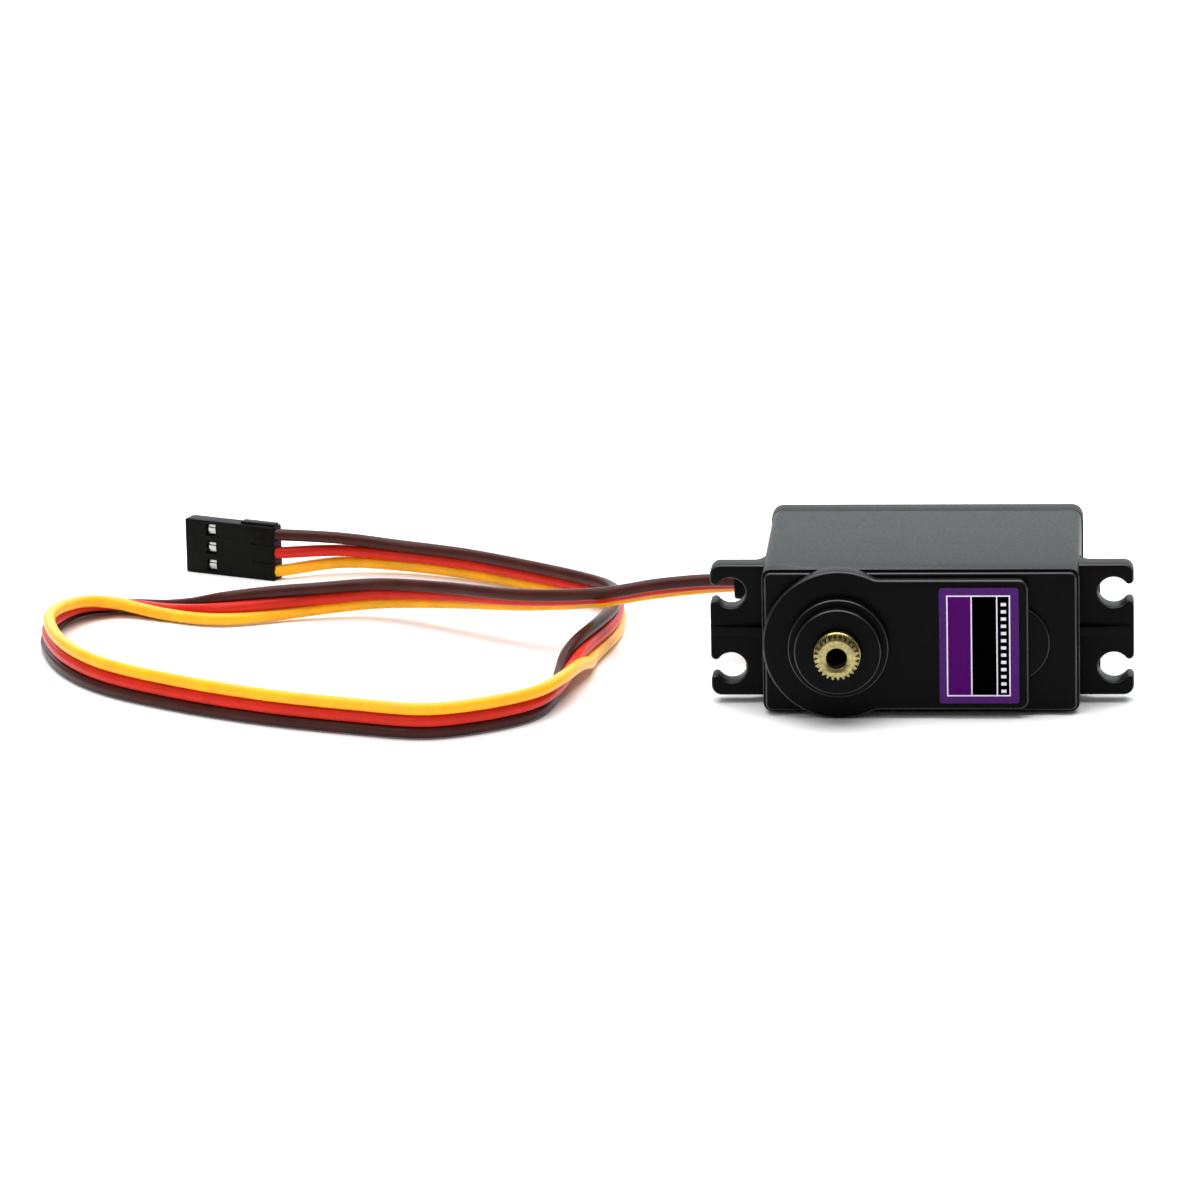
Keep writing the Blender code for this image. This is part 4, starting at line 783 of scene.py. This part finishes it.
def make_output_gear():
    at = (OUTPUT_X, 0)
    shift = Matrix.Translation((OUTPUT_X, 0, 0))
    spline_low, collar_low, shaft_low = 40.9 * MM, 34.0 * MM, 26.9 * MM
    spline_tip, spline_root, face_edge, clear = 2.9 * MM, 2.4 * MM, 2.35 * MM, 4 * MM
    thread_crest, thread_root = 1.35 * MM, 1.52 * MM
    shaft = [(0, spline_low + 0.1 * MM), (COLLAR_RADIUS - 0.15 * MM, spline_low + 0.1 * MM),
             (COLLAR_RADIUS, spline_low - 0.05 * MM), (COLLAR_RADIUS, collar_low),
             (SHAFT_RADIUS, collar_low), (SHAFT_RADIUS, shaft_low), (0, shaft_low)]
    chamfer = [(face_edge, SHAFT_TOP + MM), (clear, SHAFT_TOP + MM),
               (clear, SHAFT_TOP - 0.75 * MM), (spline_tip, SHAFT_TOP - 0.35 * MM),
               (face_edge, SHAFT_TOP - 0.12 * MM)]
    bore = [(0, SHAFT_TOP + MM), (2.6 * MM, SHAFT_TOP + MM), (1.85 * MM, SHAFT_TOP + 0.02 * MM),
            (1.37 * MM, SHAFT_TOP - 0.2 * MM)]
    for turn in range(11):                # thread of the M3 hole, as plain ring grooves
        height = SHAFT_TOP - (1.0 + 0.5 * turn) * MM
        bore += [(thread_crest, height), (thread_root, height - 0.17 * MM),
                 (thread_crest, height - 0.34 * MM)]
    bore += [(thread_crest, 35.0 * MM), (0, 34.3 * MM)]
    wheel = prism([gear_outline(30, 0.50 * MM, False, 0.08 * MM, 0.9)], 33.4 * MM, 34.7 * MM, 0,
                  shift)
    spline = prism([spline_outline(25, spline_tip, spline_root)], spline_low, SHAFT_TOP, 0,
                   shift)
    tab = box_mesh((OUTPUT_X - 7.3 * MM, -1.2 * MM, 32.3 * MM),
                   (OUTPUT_X - 5.6 * MM, 1.2 * MM, 33.5 * MM))
    slot = box_mesh((OUTPUT_X - 0.6 * MM, -3 * MM, 26 * MM),
                    (OUTPUT_X + 0.6 * MM, 3 * MM, 28.2 * MM))
    steps = [(ADD, turned(shaft, at, 96)), (ADD, spline), (CUT, turned(chamfer, at, 96)),
             (CUT, turned(bore, at, 64)), (ADD, tab), (CUT, slot)]
    mesh = finish_mesh(carve(wheel, steps), 28)
    mesh.materials.append(MATERIALS["brass"])
    mesh.materials.append(MATERIALS["brass_painted_shade"])
    # faces deep in the bore and in the roots between the spline teeth get the dark brass as painted
    # shade
    for face in mesh.polygons:
        from_axis = math.hypot(face.center.x - OUTPUT_X, face.center.y)
        in_bore = from_axis < 1.56 * MM and 33 * MM < face.center.z < SHAFT_TOP - 0.25 * MM
        in_root = 2.2 * MM < from_axis < 2.5 * MM and face.center.z > spline_low + 0.2 * MM
        face.material_index = 1 if in_bore or (in_root and abs(face.normal.z) < 0.1) else 0
    link_piece("output_gear_and_shaft", mesh, "brass", body="output", replaces=["output_gear"])


# ---------------------------------------------------------------- grommet
def make_grommet():
    """Ribbed, tapered rubber sleeve around the ribbon."""
    low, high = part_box("cable_grommet")
    center = BACK_Y - (low[1] + high[1]) / 2
    wall_out, wall_in = -CASE_LENGTH / 2 - 0.15 * MM, -CASE_LENGTH / 2 + WALL + 0.3 * MM
    face = GROMMET_FACE_X
    stations = [(face, 2.45, 1.62), (face + 0.12 * MM, 2.6, 1.72), (face + 0.5 * MM, 2.75, 1.76),
                (wall_out - 1.1 * MM, 2.95, 1.8), (wall_out - 1.0 * MM, 3.15, 1.95),
                (wall_out - 0.85 * MM, 3.3, 2.15), (wall_out - 0.1 * MM, 3.3, 2.2),
                (wall_out, 3.25, 2.15), (wall_out + 0.01 * MM, 2.6, 1.6),
                (wall_in - 0.01 * MM, 2.6, 1.6), (wall_in, 3.2, 2.1), (wall_in + MM, 3.2, 2.1)]
    mesh = bpy.data.meshes.new("grommet")
    shape = bmesh.new()
    loops = []
    for x, half_z, half_y in stations:
        outline = rounded_box(-half_y * MM, half_y * MM, -half_z * MM, half_z * MM,
                              min(half_y, half_z) * 0.7 * MM, 6)
        loops.append([shape.verts.new((x, y, center + z)) for y, z in outline])
    for lower, upper in zip(loops, loops[1:]):
        for k in range(len(lower)):
            after = (k + 1) % len(lower)
            shape.faces.new((lower[k], lower[after], upper[after], upper[k]))
    shape.faces.new(loops[0])
    shape.faces.new(loops[-1])
    bmesh.ops.recalc_face_normals(shape, faces=shape.faces)
    shape.to_mesh(mesh)
    shape.free()
    link_piece("lead_grommet", finish_mesh(mesh, 40), "black_rubber", replaces=["cable_grommet"])


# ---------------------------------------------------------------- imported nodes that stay
def dress_cad_nodes():
    """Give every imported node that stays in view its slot's procedural material."""
    slots = {part["node"]: part["material_slot"] for part in frame["record"]["subparts"]}
    for node, slot in slots.items():
        obj = frame["nodes"][node]
        obj.data.materials.clear()
        obj.data.materials.append(MATERIALS[slot])


make_camera()
dress_cad_nodes()
make_lead(make_connector())
make_stage()
make_case_bottom()
make_case_middle()
make_case_top()
make_label()
make_output_gear()
make_grommet()
